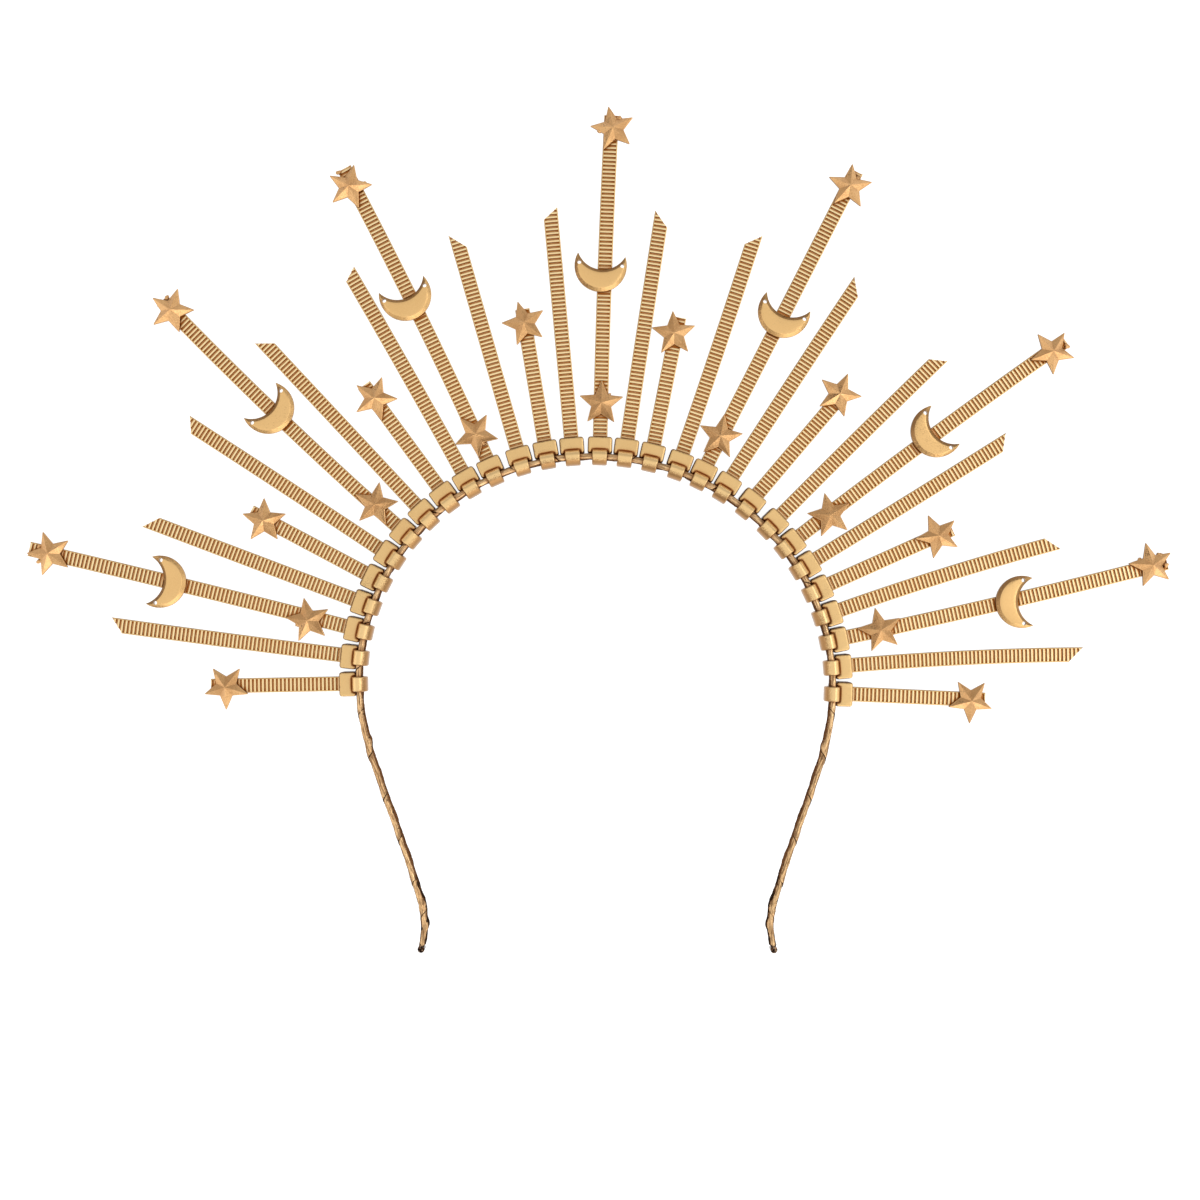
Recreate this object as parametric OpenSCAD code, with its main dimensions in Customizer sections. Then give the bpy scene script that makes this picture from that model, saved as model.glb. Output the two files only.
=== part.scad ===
// Halo crown: cable ties fanned out round a ribbon-wrapped headband, with faceted stars
// and pierced crescent moons glued on their toothed faces.
//
// The crown lies on its back. X runs to the right, Y from the open end of the headband to
// the middle tie, and Z from the back to the front. The origin is the middle of the arch,
// on the plane that the backs of the ties' heads rest on. Lengths are in millimetres.
// Angles are in degrees, anticlockwise seen from the front, with 0 along +X.

/* [Headband] */
// Mean distance from the origin to the middle of the band, along the arch
arch_r = 68.9; // [68:0.1:70]
// How much further out the top of the arch is than its two ends
arch_lift = 3.5; // [3:0.1:4]
// How far the hand-bent arch is out of round
arch_oval = 1.7; // [0:0.1:2]
// Direction of the long axis of that oval
oval_axis = -9.5; // [-20:0.5:10]
// Width of the metal band, from back to front
band_w = 4.4; // [3.5:0.1:4.4]
// Thickness of the metal band
band_t = 0.9; // [0.5:0.1:0.9]
// Diameter of the rolled bead that blunts each end of the band
bead_d = 2.1; // [1.4:0.1:2.4]

/* [Ribbon wrap] */
// Width of the wrapped band, from back to front
wrap_w = 5; // [4.9:0.1:5]
// Thickness of the wrapped band
wrap_t = 1.4; // [1.35:0.05:1.45]
// Thickness of the wound ribbon
ribbon_t = 0.2; // [0.1:0.05:0.2]
// Height of the ribbon's back edge above the resting plane
wrap_z = 3.3; // [3.25:0.05:3.35]

/* [Cable ties] */
// Width of the strap
strap_w = 4.4; // [4:0.1:4.8]
// Thickness of the strap
strap_t = 1.2; // [1:0.05:1.2]
// Length of the head, along the strap
head_l = 5.1; // [4.6:0.1:5.4]
// Width of the head
head_w = 7.3; // [6:0.1:7.4]
// Depth of the head, from its back to its front
head_h = 7.5; // [7.3:0.1:7.6]
// Radius of the head's upright corners
head_round = 0.8; // [0.3:0.1:1.2]
// Height of the middle of the strap where it leaves the head
tail_z = 2.15; // [2.1:0.05:2.2]
// Gap between the head and the wrapped band
head_gap = 0.1; // [0.05:0.05:0.2]

/* [Stars] */
// Radius to the five points
star_r = 7.05; // [6:0.05:7.5]
// Radius to the five inner corners
star_inner_r = 3.2; // [2.6:0.1:3.6]
// Thickness at the rim
star_rim = 0.7; // [0.4:0.1:1]
// Thickness at the raised middle
star_rise = 2.7; // [1.8:0.1:3]

/* [Moons] */
// Radius of the outer edge
moon_r = 7.85; // [7:0.05:8.2]
// Radius of the hollow edge
moon_hollow_r = 7.8; // [7:0.05:8.2]
// Distance between the middles of the two edges
moon_offset = 6.6; // [6:0.1:7]
// Full thickness
moon_t = 2; // [1.6:0.1:2.4]
// Width and height of the bevel round the front face
moon_bevel = 1; // [0.4:0.1:1.2]
// Radius of the sewing holes
moon_hole_r = 0.55; // [0.4:0.05:0.6]
// Distance from the moon's middle line to each sewing hole
moon_hole_side = 6.45; // [6.3:0.05:6.5]

/* [Hidden] */
$fn = 48;

// Each leg's bends, from the arch down: their lengths, and how far they turn inward
LEFT_BENDS = [
    [18, 13],
    [22, 1],
    [24, -4.5],
    [7, -23],
    [4.2, -2]
];
RIGHT_BENDS = [
    [18, 14.5],
    [22, 2],
    [24, -4.5],
    [7, -23],
    [4.2, -2]
];
left_lean = 6; // inward lean of the left leg where it leaves the arch
right_lean = 3.5; // the same for the right leg
arch_ends = [-2, 182];
arch_step = 4;
bend_step = 12; // largest turn between two points of a bend
bead_neck = 0.2; // bare metal between the ribbon's end and the bead

// Each tie: the angle on the arch, the radius that its tip reaches, its lean from the
// band's normal, how far it bends towards its tip, and the length of its slanting cut,
// which is positive when the point is on the left of the strap
TIES = [
    [177.6, 116,    0,    0,    0],
    [171.3, 147.5, -1.2, -0.8, -3.7],
    [165,   176,   -1.7,  1.6,  0],
    [158.8, 145.5, -1,    0,    4],
    [152.6, 117.5, -1.4,  0,    0],
    [146.4, 148,   -0.2,  0.8, -3.3],
    [140.2, 176,   -1.3, -4.5,  0],
    [134,   147,   -0.1,  0,    4.1],
    [127.7, 116,   -0.3,  0,    0],
    [121.5, 147.5, -1.2,  1.4, -2.8],
    [115.3, 175,    0.6,  3.6,  0],
    [108.3, 144.5, -0.7,  0,    4.8],
    [102,   117.5, -1,    0,    0],
    [95.9,  146.5,  0.7,  0,   -3.5],
    [89.4,  173.5,  0.6, -1.8,  0],
    [83.3,  146,   -0.9, -0.5,  4.6],
    [77.1,  115.5,  2.3,  0,    0],
    [70.4,  146,    0.8,  1.2, -4],
    [64.4,  175,   -1.4,  0,    0],
    [58.1,  147,   -0.9, -1.2,  4.6],
    [51.2,  118,   -1.9,  0,    0],
    [44,    145,    1,   -1.6, -3.7],
    [37.8,  176,   -0.5, -2.6,  0],
    [31.5,  145.5, -0.4,  1,    3.8],
    [25.2,  117.5, -0.9,  0,    0],
    [18.9,  146,    1.4, -5,   -4],
    [12.7,  175.5,  0,    2.6,  0],
    [6.4,   146.5,  0,   -4.5,  4.4],
    [0,     116.5, -0.6,  0,    0]
];

// Each star: its tie, the radius of its middle, how far left of the strap's middle it
// sits, and its turn from point-up
TIP_STARS = [
    [1,  111.3,  0.3,  36],
    [3,  169.5,  0,    17],
    [5,  112.5,  0.4,  0],
    [7,  171.8,  0,   -16],
    [9,  110.7, -0.3, -18],
    [11, 169.1,  1.2, -11.5],
    [13, 113.1,  0.1,  17],
    [15, 169.4, -0.6,  11.5],
    [17, 110.3,  0.6,  2.5],
    [19, 169.8, -0.3, -7],
    [21, 115.3,  0.7, -23],
    [23, 170.6, -0.4, -33],
    [25, 112.5, -0.1,  25],
    [27, 170.6,  0.5,  14.5],
    [29, 112,   -0.4,  33.5]
];
BASE_STARS = [
    [3,  89.4,  1,    11],
    [7,  87.3, -0.5, -9.5],
    [11, 85.7,  0,   -28.5],
    [15, 87,   -0.1, -1.5],
    [19, 85.4,  0.3, -11],
    [23, 87.9, -0.5,  13.5],
    [27, 87,    0.1,  13.5]
];

// Each moon: its tie, the radius of its outer edge's middle, how far left of the strap's
// middle that is, and the direction that its hollow faces
MOONS = [
    [3,  135.3,  0.5, 172.5],
    [7,  130.7,  0.2, 138],
    [11, 132.7,  1,   111],
    [15, 128.2,  1.3, 84.5],
    [19, 127.4,  0.2, 66],
    [23, 128.6,  0.5, 36.5],
    [27, 130.2, -1,   1]
];

tie_count = len(TIES);
ornament_gap = 0.1;
ornament_z = tail_z + strap_t/2 + ornament_gap;
moon_tip_cut = 0.2;
moon_hole_lead = 0.3; // how far the holes lie towards the hollow
cut_clear = 1; // how far a cutting shape runs past what it cuts

// Distances along the tie, from the middle of the band outward
head_start = wrap_t/2 + head_gap;
head_mid = head_start + head_l/2;
root_u = head_start + 0.1 + strap_t/2;

// The strap's loop round the band, from the front of the head over the band's front edge,
// down its inner side and back under it into the head
front_r = 1.7;
front_turn = 160;
side_r = 7;
side_turn = 40;
root_rise = 0.5;
root_sunk = 1;
loop_root_z = head_h - root_sunk;
front_z = head_h + root_rise;
back_from = front_turn + side_turn;
side_z = front_z + front_r*sin(front_turn) + side_r*(sin(back_from) - sin(front_turn));
side_u = root_u + front_r*(cos(front_turn) - 1) + side_r*(cos(back_from) - cos(front_turn));
back_r = (side_z - tail_z)/(1 + sin(back_from));
tail_start = side_u - back_r*cos(back_from);
LOOP_BENDS = [
    [root_sunk + root_rise, 0],
    [arc_length(front_r, front_turn), front_turn],
    [arc_length(side_r, side_turn), side_turn],
    [arc_length(back_r, 270 - back_from), 270 - back_from],
    [head_mid - tail_start, 0]
];

function number_name(n) = str(n < 10 ? "0" : "", n);
function tie_name(n) = str("tie_", number_name(n));
function tip_star_name(row) = str("tip_star_", number_name(row[0]));
function base_star_name(row) = str("base_star_", number_name(row[0]));
function moon_name(row) = str("moon_", number_name(row[0]));

// Where the middle of the band lies at an angle on the arch, and which way it faces there
function arch_radius(a) = arch_r - 0.3*cos(a) + arch_lift*sin(a) + arch_oval*cos(2*(a - oval_axis));
function arch_point(a) = arch_radius(a)*[cos(a), sin(a)];
function arch_slope(a) = 0.3*sin(a) + arch_lift*cos(a) - 2*arch_oval*sin(2*(a - oval_axis));
function arch_normal(a) = a - atan(arch_slope(a)/arch_radius(a));

function toward(angle) = [cos(angle), sin(angle)];

// Straight distance across an arc of a given length, as a part of that length
function chord_ratio(turn) = turn == 0 ? 1 : sin(turn/2)/(turn/2*PI/180);
function arc_point(from, heading, length, turn) =
    from + length*chord_ratio(turn)*toward(heading + turn/2);

// The points along a chain of bends, after its first one; each bend is a length and a turn,
// to the left where side is 1 and to the right where side is -1
function bend_points(bends, from, heading, side = 1, i = 0) =
    i == len(bends) ? [] :
    let (
        length = bends[i][0],
        turn = side*bends[i][1],
        steps = max(1, ceil(abs(turn)/bend_step))
    )
    concat(
        [for (j = [1 : steps]) arc_point(from, heading, length*j/steps, turn*j/steps)],
        bend_points(bends, arc_point(from, heading, length, turn), heading + turn, side, i + 1)
    );
function arc_length(radius, turn) = radius*turn*PI/180;

function reversed(list) = [for (i = [len(list) - 1 : -1 : 0]) list[i]];
function unit(v) = v/norm(v);
function last(list) = list[len(list) - 1];

RIGHT_LEG = bend_points(RIGHT_BENDS, arch_point(arch_ends[0]), -90 - right_lean, -1);
LEFT_LEG = bend_points(LEFT_BENDS, arch_point(arch_ends[1]), -90 + left_lean, 1);
ROUTE = concat(
    reversed(RIGHT_LEG),
    [for (a = [arch_ends[0] : arch_step : arch_ends[1]]) arch_point(a)],
    LEFT_LEG
);

// The same route with its two end points moved straight outward
function lengthened(points, extra) =
    let (count = len(points))
    concat(
        [points[0] + extra*unit(points[0] - points[1])],
        [for (i = [1 : count - 2]) points[i]],
        [last(points) + extra*unit(last(points) - points[count - 2])]
    );

// The bare band, from the middle of one bead to the middle of the other
BAND = lengthened(ROUTE, bead_neck + bead_d/2);

// The outline of a strip of a given width whose middle follows the points
function strip_normal(points, i) =
    let (
        before = points[max(i - 1, 0)],
        after = points[min(i + 1, len(points) - 1)],
        along = unit(after - before)
    )
    [-along[1], along[0]];
function strip_side(points, offset) =
    [for (i = [0 : len(points) - 1]) points[i] + offset*strip_normal(points, i)];
function strip_outline(points, width) =
    concat(strip_side(points, width/2), reversed(strip_side(points, -width/2)));

// A tie's own numbers: its length from the middle of its head, and a point on its strap
function tie_at(n) = TIES[n - 1][0];
function tie_axis(n) = arch_normal(tie_at(n));
function tie_lean(n) = TIES[n - 1][2];
function tie_bend(n) = TIES[n - 1][3];
function tie_cut(n) = TIES[n - 1][4];
function past_head(n, radius) = radius - arch_radius(tie_at(n)) - head_mid;
function tie_length(n) = past_head(n, TIES[n - 1][1]);
function strap_turn(n, length) = tie_bend(n)*length/tie_length(n);
function strap_point(n, length, side) =
    arc_point([head_mid, 0], tie_lean(n), length, strap_turn(n, length))
    + side*toward(tie_lean(n) + strap_turn(n, length) + 90);
function turned(v, angle) = [v[0]*cos(angle) - v[1]*sin(angle), v[0]*sin(angle) + v[1]*cos(angle)];
function on_strap(row) =
    arch_point(tie_at(row[0]))
    + turned(strap_point(row[0], past_head(row[0], row[1]), row[2]), tie_axis(row[0]));

// One long edge of the strap, from the middle of the head to the cut end
function strap_edge(n, side, length, steps) =
    [for (i = [0 : steps]) strap_point(n, length*i/steps, side*strap_w/2)];

module head_plan() {
    translate([head_start, -head_w/2]) {
        translate([head_round, 0]) square([head_l - 2*head_round, head_w]);
        translate([0, head_round]) square([head_l, head_w - 2*head_round]);
        for (u = [head_round, head_l - head_round], v = [head_round, head_w - head_round])
            translate([u, v]) circle(r = head_round);
    }
}

module tie_loop() {
    root = [root_u, loop_root_z];
    translate([0, strap_w/2, 0])
        rotate([90, 0, 0])
            linear_extrude(height = strap_w)
                polygon(strip_outline(concat([root], bend_points(LOOP_BENDS, root, 90)), strap_t));
}

module tie_tail(n) {
    length = tie_length(n);
    steps = tie_bend(n) == 0 ? 1 : 8;
    translate([0, 0, tail_z - strap_t/2])
        linear_extrude(height = strap_t)
            polygon(concat(
                reversed(strap_edge(n, 1, length + min(tie_cut(n), 0), steps)),
                strap_edge(n, -1, length - max(tie_cut(n), 0), steps)
            ));
}

module tie(n) {
    color("goldenrod")
        translate(arch_point(tie_at(n)))
            rotate([0, 0, tie_axis(n)])
                union() {
                    linear_extrude(height = head_h) head_plan();
                    tie_loop();
                    tie_tail(n);
                }
}

module headband() {
    color("sienna")
        translate([0, 0, wrap_z + (wrap_w - band_w)/2]) {
            linear_extrude(height = band_w) polygon(strip_outline(BAND, band_t));
            for (end = [BAND[0], last(BAND)]) translate(end) cylinder(d = bead_d, h = band_w);
        }
}

module ribbon_wrap() {
    color("peru")
        translate([0, 0, wrap_z])
            difference() {
                linear_extrude(height = wrap_w) polygon(strip_outline(ROUTE, wrap_t));
                translate([0, 0, ribbon_t])
                    linear_extrude(height = wrap_w - 2*ribbon_t)
                        polygon(strip_outline(lengthened(ROUTE, cut_clear), wrap_t - 2*ribbon_t));
            }
}

// A star lying flat with one point along +Y: a flat back, a thin rim and ten facets
// that rise from the rim to the middle. Its corners are numbered back rim, front rim,
// middle of the back and peak, and its back is split round its own middle.
module star() {
    rim = [for (i = [0 : 9]) (i % 2 == 0 ? star_r : star_inner_r)*toward(90 + 36*i)];
    points = concat(
        [for (p = rim) [p[0], p[1], 0]],
        [for (p = rim) [p[0], p[1], star_rim]],
        [[0, 0, 0], [0, 0, star_rise]]
    );
    back_middle = 20;
    peak = 21;
    faces = [
        for (i = [0 : 9])
            let (next = (i + 1) % 10)
            each [
                [i, next, back_middle],
                [i, i + 10, next + 10, next],
                [i + 10, peak, next + 10]
            ]
    ];
    polyhedron(points, faces);
}

module placed_star(row) {
    color("goldenrod")
        translate(concat(on_strap(row), [ornament_z])) rotate([0, 0, row[3]]) star();
}

// A moon lying flat, with the middle of its outer edge at the origin and its hollow
// facing +X
module moon() {
    straight = moon_t - moon_bevel;
    meet = moon_offset/2 + (pow(moon_r, 2) - pow(moon_hollow_r, 2))/(2*moon_offset);
    difference() {
        union() {
            cylinder(r = moon_r, h = straight);
            translate([0, 0, straight])
                cylinder(r1 = moon_r, r2 = moon_r - moon_bevel, h = moon_bevel);
        }
        translate([moon_offset, 0, -cut_clear])
            cylinder(r = moon_hollow_r, h = straight + cut_clear);
        translate([moon_offset, 0, straight])
            cylinder(r1 = moon_hollow_r, r2 = moon_hollow_r + 2*moon_bevel, h = 2*moon_bevel);
        translate([meet - moon_tip_cut, -moon_r, -cut_clear])
            cube([moon_r, 2*moon_r, moon_t + 2*cut_clear]);
        for (side = [-1, 1])
            translate([moon_hole_lead, side*moon_hole_side, -cut_clear])
                cylinder(r = moon_hole_r, h = moon_t + 2*cut_clear);
    }
}

module placed_moon(row) {
    color("darkgoldenrod")
        translate(concat(on_strap(row), [ornament_z])) rotate([0, 0, row[3]]) moon();
}

headband();
ribbon_wrap();
for (n = [1 : tie_count])
    tie(n);
for (row = TIP_STARS)
    placed_star(row);
for (row = BASE_STARS)
    placed_star(row);
for (row = MOONS)
    placed_moon(row);
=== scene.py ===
"""Halo crown: the finished look of the cable-tie crown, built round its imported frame.

The crown lies on its back. X runs to the right, Y from the open end of the headband to the
middle tie, and Z from the back to the front. The shapes are worked out in millimetres, and
each piece is brought into metres when it is published.
"""

import logging
import math
from bisect import bisect_right
from dataclasses import dataclass, field
from enum import Enum
from typing import Callable, Iterable, Optional, Sequence

import bmesh
import bpy
from bmesh.types import BMEdge, BMesh, BMFace, BMVert
from bpy.types import Material, Mesh, Node, NodeSocket, NodeTree, Object
from mathutils import Matrix, Vector, noise


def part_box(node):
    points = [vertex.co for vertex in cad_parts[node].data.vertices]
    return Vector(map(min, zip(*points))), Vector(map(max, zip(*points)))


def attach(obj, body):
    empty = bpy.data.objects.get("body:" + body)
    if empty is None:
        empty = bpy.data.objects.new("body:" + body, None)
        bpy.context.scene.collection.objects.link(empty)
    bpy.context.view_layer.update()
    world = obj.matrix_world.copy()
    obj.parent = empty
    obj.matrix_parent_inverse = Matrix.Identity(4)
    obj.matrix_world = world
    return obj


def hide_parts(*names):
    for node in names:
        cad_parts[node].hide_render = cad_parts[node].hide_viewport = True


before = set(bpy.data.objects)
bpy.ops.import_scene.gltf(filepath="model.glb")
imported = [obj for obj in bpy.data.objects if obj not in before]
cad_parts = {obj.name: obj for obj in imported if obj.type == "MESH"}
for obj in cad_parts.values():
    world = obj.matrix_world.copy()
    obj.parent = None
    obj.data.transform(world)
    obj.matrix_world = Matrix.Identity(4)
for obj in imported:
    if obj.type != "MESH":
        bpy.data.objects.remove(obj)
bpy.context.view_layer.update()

LOG = logging.getLogger("halo_crown")
MM = 0.001
# Places in millimetres, or directions, that differ by less are the same
CLOSE = 0.001
# A point nearer to a slicing plane lies on it
ON_PLANE = 1e-5
# How many segments a rounded edge gets
FINE_STEPS = 4
EVEN_STEPS = 3
FEW_STEPS = 2
# How much detail noise has, as fine grain or as clouds
FINE_DETAIL = 3.0
CLOUD_DETAIL = 2.0
BODY = "root"

# Heights of the band's middle line and of the undersides of the stars and moons
BAND_Z = 5.8
ORNAMENT_Z = 2.85

Colour = tuple[float, float, float]
Test = Callable[[Vector], bool]
Ring = list[BMEdge]
Sockets = dict[str, NodeSocket]


class Slot(Enum):
    """The record's material slots."""

    BAND = "band"
    RIBBON = "ribbon"
    TIE = "tie"
    STAR = "star"
    MOON = "moon"


class Axis(Enum):
    """The three directions of a piece's own frame."""

    X = 0
    Y = 1
    Z = 2

    def unit(self) -> Vector:
        """The unit vector along this direction."""
        return Vector([float(i == self.value) for i in range(3)])

    def follows(self, edge: BMEdge) -> bool:
        """Whether an edge runs along this direction."""
        return (edge.verts[0].co - edge.verts[1].co).normalized().cross(self.unit()).length < CLOSE


class Side(Enum):
    """The two halves of the band, by the leg at their end."""

    RIGHT = 1
    LEFT = -1


class Rounded(Enum):
    """What a rounding takes off."""

    EDGES = "EDGES"
    CORNERS = "VERTICES"


class Kind(Enum):
    """The kinds of ornament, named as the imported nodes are."""

    TIP_STAR = "tip_star"
    BASE_STAR = "base_star"
    MOON = "moon"


def toward(degrees: float) -> Vector:
    """The flat unit vector at an angle, anticlockwise from +X."""
    return Vector((math.cos(math.radians(degrees)), math.sin(math.radians(degrees)), 0.0))


def arc_point(start: Vector, heading: float, length: float, turn: float) -> Vector:
    """Finds the end of an arc.

    Args:
        start: where the arc starts.
        heading: its direction there, in degrees.
        length: its length.
        turn: how far it turns left over that length, in degrees.

    Returns:
        The arc's end.
    """
    half = math.radians(turn) / 2
    ratio = math.sin(half) / half if half else 1.0
    return start + length * ratio * toward(heading + turn / 2)


def smooth_step(value: float, low: float, high: float) -> float:
    """Rises smoothly from 0 at low to 1 at high."""
    part = min(max((value - low) / (high - low), 0.0), 1.0)
    return part * part * (3 - 2 * part)


@dataclass(frozen=True)
class Arch:
    """The hand-bent line that the middle of the band follows over the crown."""

    mean: float = 68.9
    lift: float = 3.5
    sway: float = 0.3
    oval: float = 1.7
    oval_axis: float = -9.5

    def radius(self, angle: float) -> float:
        """The distance from the origin at an angle on the arch."""
        a, b = math.radians(angle), math.radians(2 * (angle - self.oval_axis))
        return self.mean - self.sway * math.cos(a) + self.lift * math.sin(a) + self.oval * math.cos(b)

    def point(self, angle: float) -> Vector:
        """The point at an angle on the arch."""
        return self.radius(angle) * toward(angle)

    def normal(self, angle: float) -> float:
        """Finds the direction that faces away from the arch.

        Args:
            angle: the angle on the arch.

        Returns:
            The direction, in degrees.
        """
        a, b = math.radians(angle), math.radians(2 * (angle - self.oval_axis))
        slope = self.sway * math.sin(a) + self.lift * math.cos(a) - 2 * self.oval * math.sin(b)
        return angle - math.degrees(math.atan(slope / self.radius(angle)))


@dataclass(frozen=True)
class Bend:
    """One bend of a leg: its length, and how far it turns inward."""

    length: float
    turn: float


@dataclass(frozen=True)
class Leg:
    """One leg of the headband, from the arch down.

    leaves_at: its angle on the arch. lean: how far inward it leans there.
    """

    side: Side
    leaves_at: float
    lean: float
    bends: tuple[Bend, ...]
    step: float = 0.5

    def points(self, arch: Arch) -> list[Vector]:
        """Works out the leg's line.

        Args:
            arch: the arch that the leg leaves.

        Returns:
            Points along the leg after its first, closely spaced.
        """
        start, heading, made = arch.point(self.leaves_at), -90 - self.side.value * self.lean, []
        for bend in self.bends:
            count = math.ceil(bend.length / self.step)
            turn = -self.side.value * bend.turn
            for i in range(1, count + 1):
                made.append(arc_point(start, heading, bend.length * i / count, turn * i / count))
            start, heading = made[-1], heading + turn
        return made


LEG_ENDS = (Bend(24, -4.5), Bend(7, -23), Bend(4.2, -2))
RIGHT_LEG = Leg(Side.RIGHT, -2, 3.5, (Bend(18, 14.5), Bend(22, 2), *LEG_ENDS))
LEFT_LEG = Leg(Side.LEFT, 182, 6, (Bend(18, 13), Bend(22, 1), *LEG_ENDS))


class Route:
    """The whole line of the band, from the right leg's end over the arch to the left leg's end."""

    def __init__(self, arch: Arch, right: Leg, left: Leg, arch_step: float = 0.5) -> None:
        """Lays the line out.

        Args:
            arch: the arch.
            right: the leg on the right.
            left: the leg on the left.
            arch_step: degrees between the points on the arch.
        """
        count = round((left.leaves_at - right.leaves_at) / arch_step)
        over = [arch.point(right.leaves_at + i * arch_step) for i in range(count + 1)]
        self.points: list[Vector] = right.points(arch)[::-1] + over + left.points(arch)
        self.marks: list[float] = [0.0]
        for before, after in zip(self.points, self.points[1:]):
            self.marks.append(self.marks[-1] + (after - before).length)

    @property
    def length(self) -> float:
        """The line's whole length."""
        return self.marks[-1]

    def at(self, distance: float) -> Vector:
        """Finds a point of the line, which is carried straight on past its ends.

        Args:
            distance: how far along the line.

        Returns:
            The point.
        """
        i = min(max(bisect_right(self.marks, distance) - 1, 0), len(self.points) - 2)
        span = self.marks[i + 1] - self.marks[i]
        return self.points[i].lerp(self.points[i + 1], (distance - self.marks[i]) / span)

    def along(self, distance: float, reach: float = 0.8) -> Vector:
        """The unit direction of travel at a distance along the line."""
        return (self.at(distance + reach) - self.at(distance - reach)).normalized()

    def outward(self, distance: float) -> Vector:
        """The unit direction away from the arch at a distance along the line."""
        ahead = self.along(distance)
        return Vector((ahead.y, -ahead.x, 0))


@dataclass(frozen=True)
class TieRow:
    """One tie of the chart.

    at: its angle on the arch. reach: the radius of its tip. lean: its lean from the band's
    normal. bend: how far it bends towards its tip. cut: the length of its slanting cut,
    positive when the point is on the left.
    """

    at: float
    reach: float
    lean: float
    bend: float
    cut: float


TIES = (
    TieRow(177.6, 116, 0, 0, 0),
    TieRow(171.3, 147.5, -1.2, -0.8, -3.7),
    TieRow(165, 176, -1.7, 1.6, 0),
    TieRow(158.8, 145.5, -1, 0, 4),
    TieRow(152.6, 117.5, -1.4, 0, 0),
    TieRow(146.4, 148, -0.2, 0.8, -3.3),
    TieRow(140.2, 176, -1.3, -4.5, 0),
    TieRow(134, 147, -0.1, 0, 4.1),
    TieRow(127.7, 116, -0.3, 0, 0),
    TieRow(121.5, 147.5, -1.2, 1.4, -2.8),
    TieRow(115.3, 175, 0.6, 3.6, 0),
    TieRow(108.3, 144.5, -0.7, 0, 4.8),
    TieRow(102, 117.5, -1, 0, 0),
    TieRow(95.9, 146.5, 0.7, 0, -3.5),
    TieRow(89.4, 173.5, 0.6, -1.8, 0),
    TieRow(83.3, 146, -0.9, -0.5, 4.6),
    TieRow(77.1, 115.5, 2.3, 0, 0),
    TieRow(70.4, 146, 0.8, 1.2, -4),
    TieRow(64.4, 175, -1.4, 0, 0),
    TieRow(58.1, 147, -0.9, -1.2, 4.6),
    TieRow(51.2, 118, -1.9, 0, 0),
    TieRow(44, 145, 1, -1.6, -3.7),
    TieRow(37.8, 176, -0.5, -2.6, 0),
    TieRow(31.5, 145.5, -0.4, 1, 3.8),
    TieRow(25.2, 117.5, -0.9, 0, 0),
    TieRow(18.9, 146, 1.4, -5, -4),
    TieRow(12.7, 175.5, 0, 2.6, 0),
    TieRow(6.4, 146.5, 0, -4.5, 4.4),
    TieRow(0, 116.5, -0.6, 0, 0),
)


@dataclass(frozen=True)
class Dab:
    """A dab of glue at an ornament's edge: how far from its middle, and its radius."""

    right: float
    up: float
    size: float


@dataclass(frozen=True)
class OrnamentRow:
    """One star or moon of the chart.

    tie: the number of its tie. radius: how far its middle is from the origin. left: how far
    left of the strap's middle it sits. turn: a star's turn from point-up, or the direction
    that a moon's hollow faces. dabs: the glue that shows at its edge.
    """

    tie: int
    radius: float
    left: float
    turn: float
    dabs: tuple[Dab, ...] = ()


ORNAMENTS = {
    Kind.TIP_STAR: (
        OrnamentRow(1, 111.3, 0.3, 36),
        OrnamentRow(3, 169.5, 0, 17, (Dab(-3.0, 2.3, 0.8), Dab(-3.2, -2.2, 0.8))),
        OrnamentRow(5, 112.5, 0.4, 0),
        OrnamentRow(7, 171.8, 0, -16, (Dab(-1.4, 4.0, 0.8),)),
        OrnamentRow(9, 110.7, -0.3, -18),
        OrnamentRow(11, 169.1, 1.2, -11.5, (Dab(4.7, 0.9, 0.9), Dab(-3.3, 4.3, 0.8))),
        OrnamentRow(13, 113.1, 0.1, 17, (Dab(3.4, 1.9, 0.7),)),
        OrnamentRow(15, 169.4, -0.6, 11.5, (Dab(-4.0, -0.7, 0.9), Dab(1.9, 3.2, 0.9))),
        OrnamentRow(17, 110.3, 0.6, 2.5),
        OrnamentRow(19, 169.8, -0.3, -7, (Dab(2.6, 2.6, 0.8),)),
        OrnamentRow(21, 115.3, 0.7, -23),
        OrnamentRow(23, 170.6, -0.4, -33, (Dab(4.5, 1.7, 0.9),)),
        OrnamentRow(25, 112.5, -0.1, 25),
        OrnamentRow(27, 170.6, 0.5, 14.5, (Dab(4.3, 0.0, 0.9), Dab(2.4, 2.9, 1.0), Dab(-3.5, 1.6, 0.6))),
        OrnamentRow(29, 112, -0.4, 33.5),
    ),
    Kind.BASE_STAR: (
        OrnamentRow(3, 89.4, 1, 11, (Dab(-3.2, -1.2, 0.9),)),
        OrnamentRow(7, 87.3, -0.5, -9.5),
        OrnamentRow(11, 85.7, 0, -28.5, (Dab(2.3, -2.6, 0.8),)),
        OrnamentRow(15, 87, -0.1, -1.5, (Dab(2.4, 2.6, 0.6),)),
        OrnamentRow(19, 85.4, 0.3, -11),
        OrnamentRow(23, 87.9, -0.5, 13.5),
        OrnamentRow(27, 87, 0.1, 13.5),
    ),
    Kind.MOON: (
        OrnamentRow(3, 135.3, 0.5, 172.5),
        OrnamentRow(7, 130.7, 0.2, 138),
        OrnamentRow(11, 132.7, 1, 111),
        OrnamentRow(15, 128.2, 1.3, 84.5),
        OrnamentRow(19, 127.4, 0.2, 66),
        OrnamentRow(23, 128.6, 0.5, 36.5),
        OrnamentRow(27, 130.2, -1, 1),
    ),
}


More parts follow.
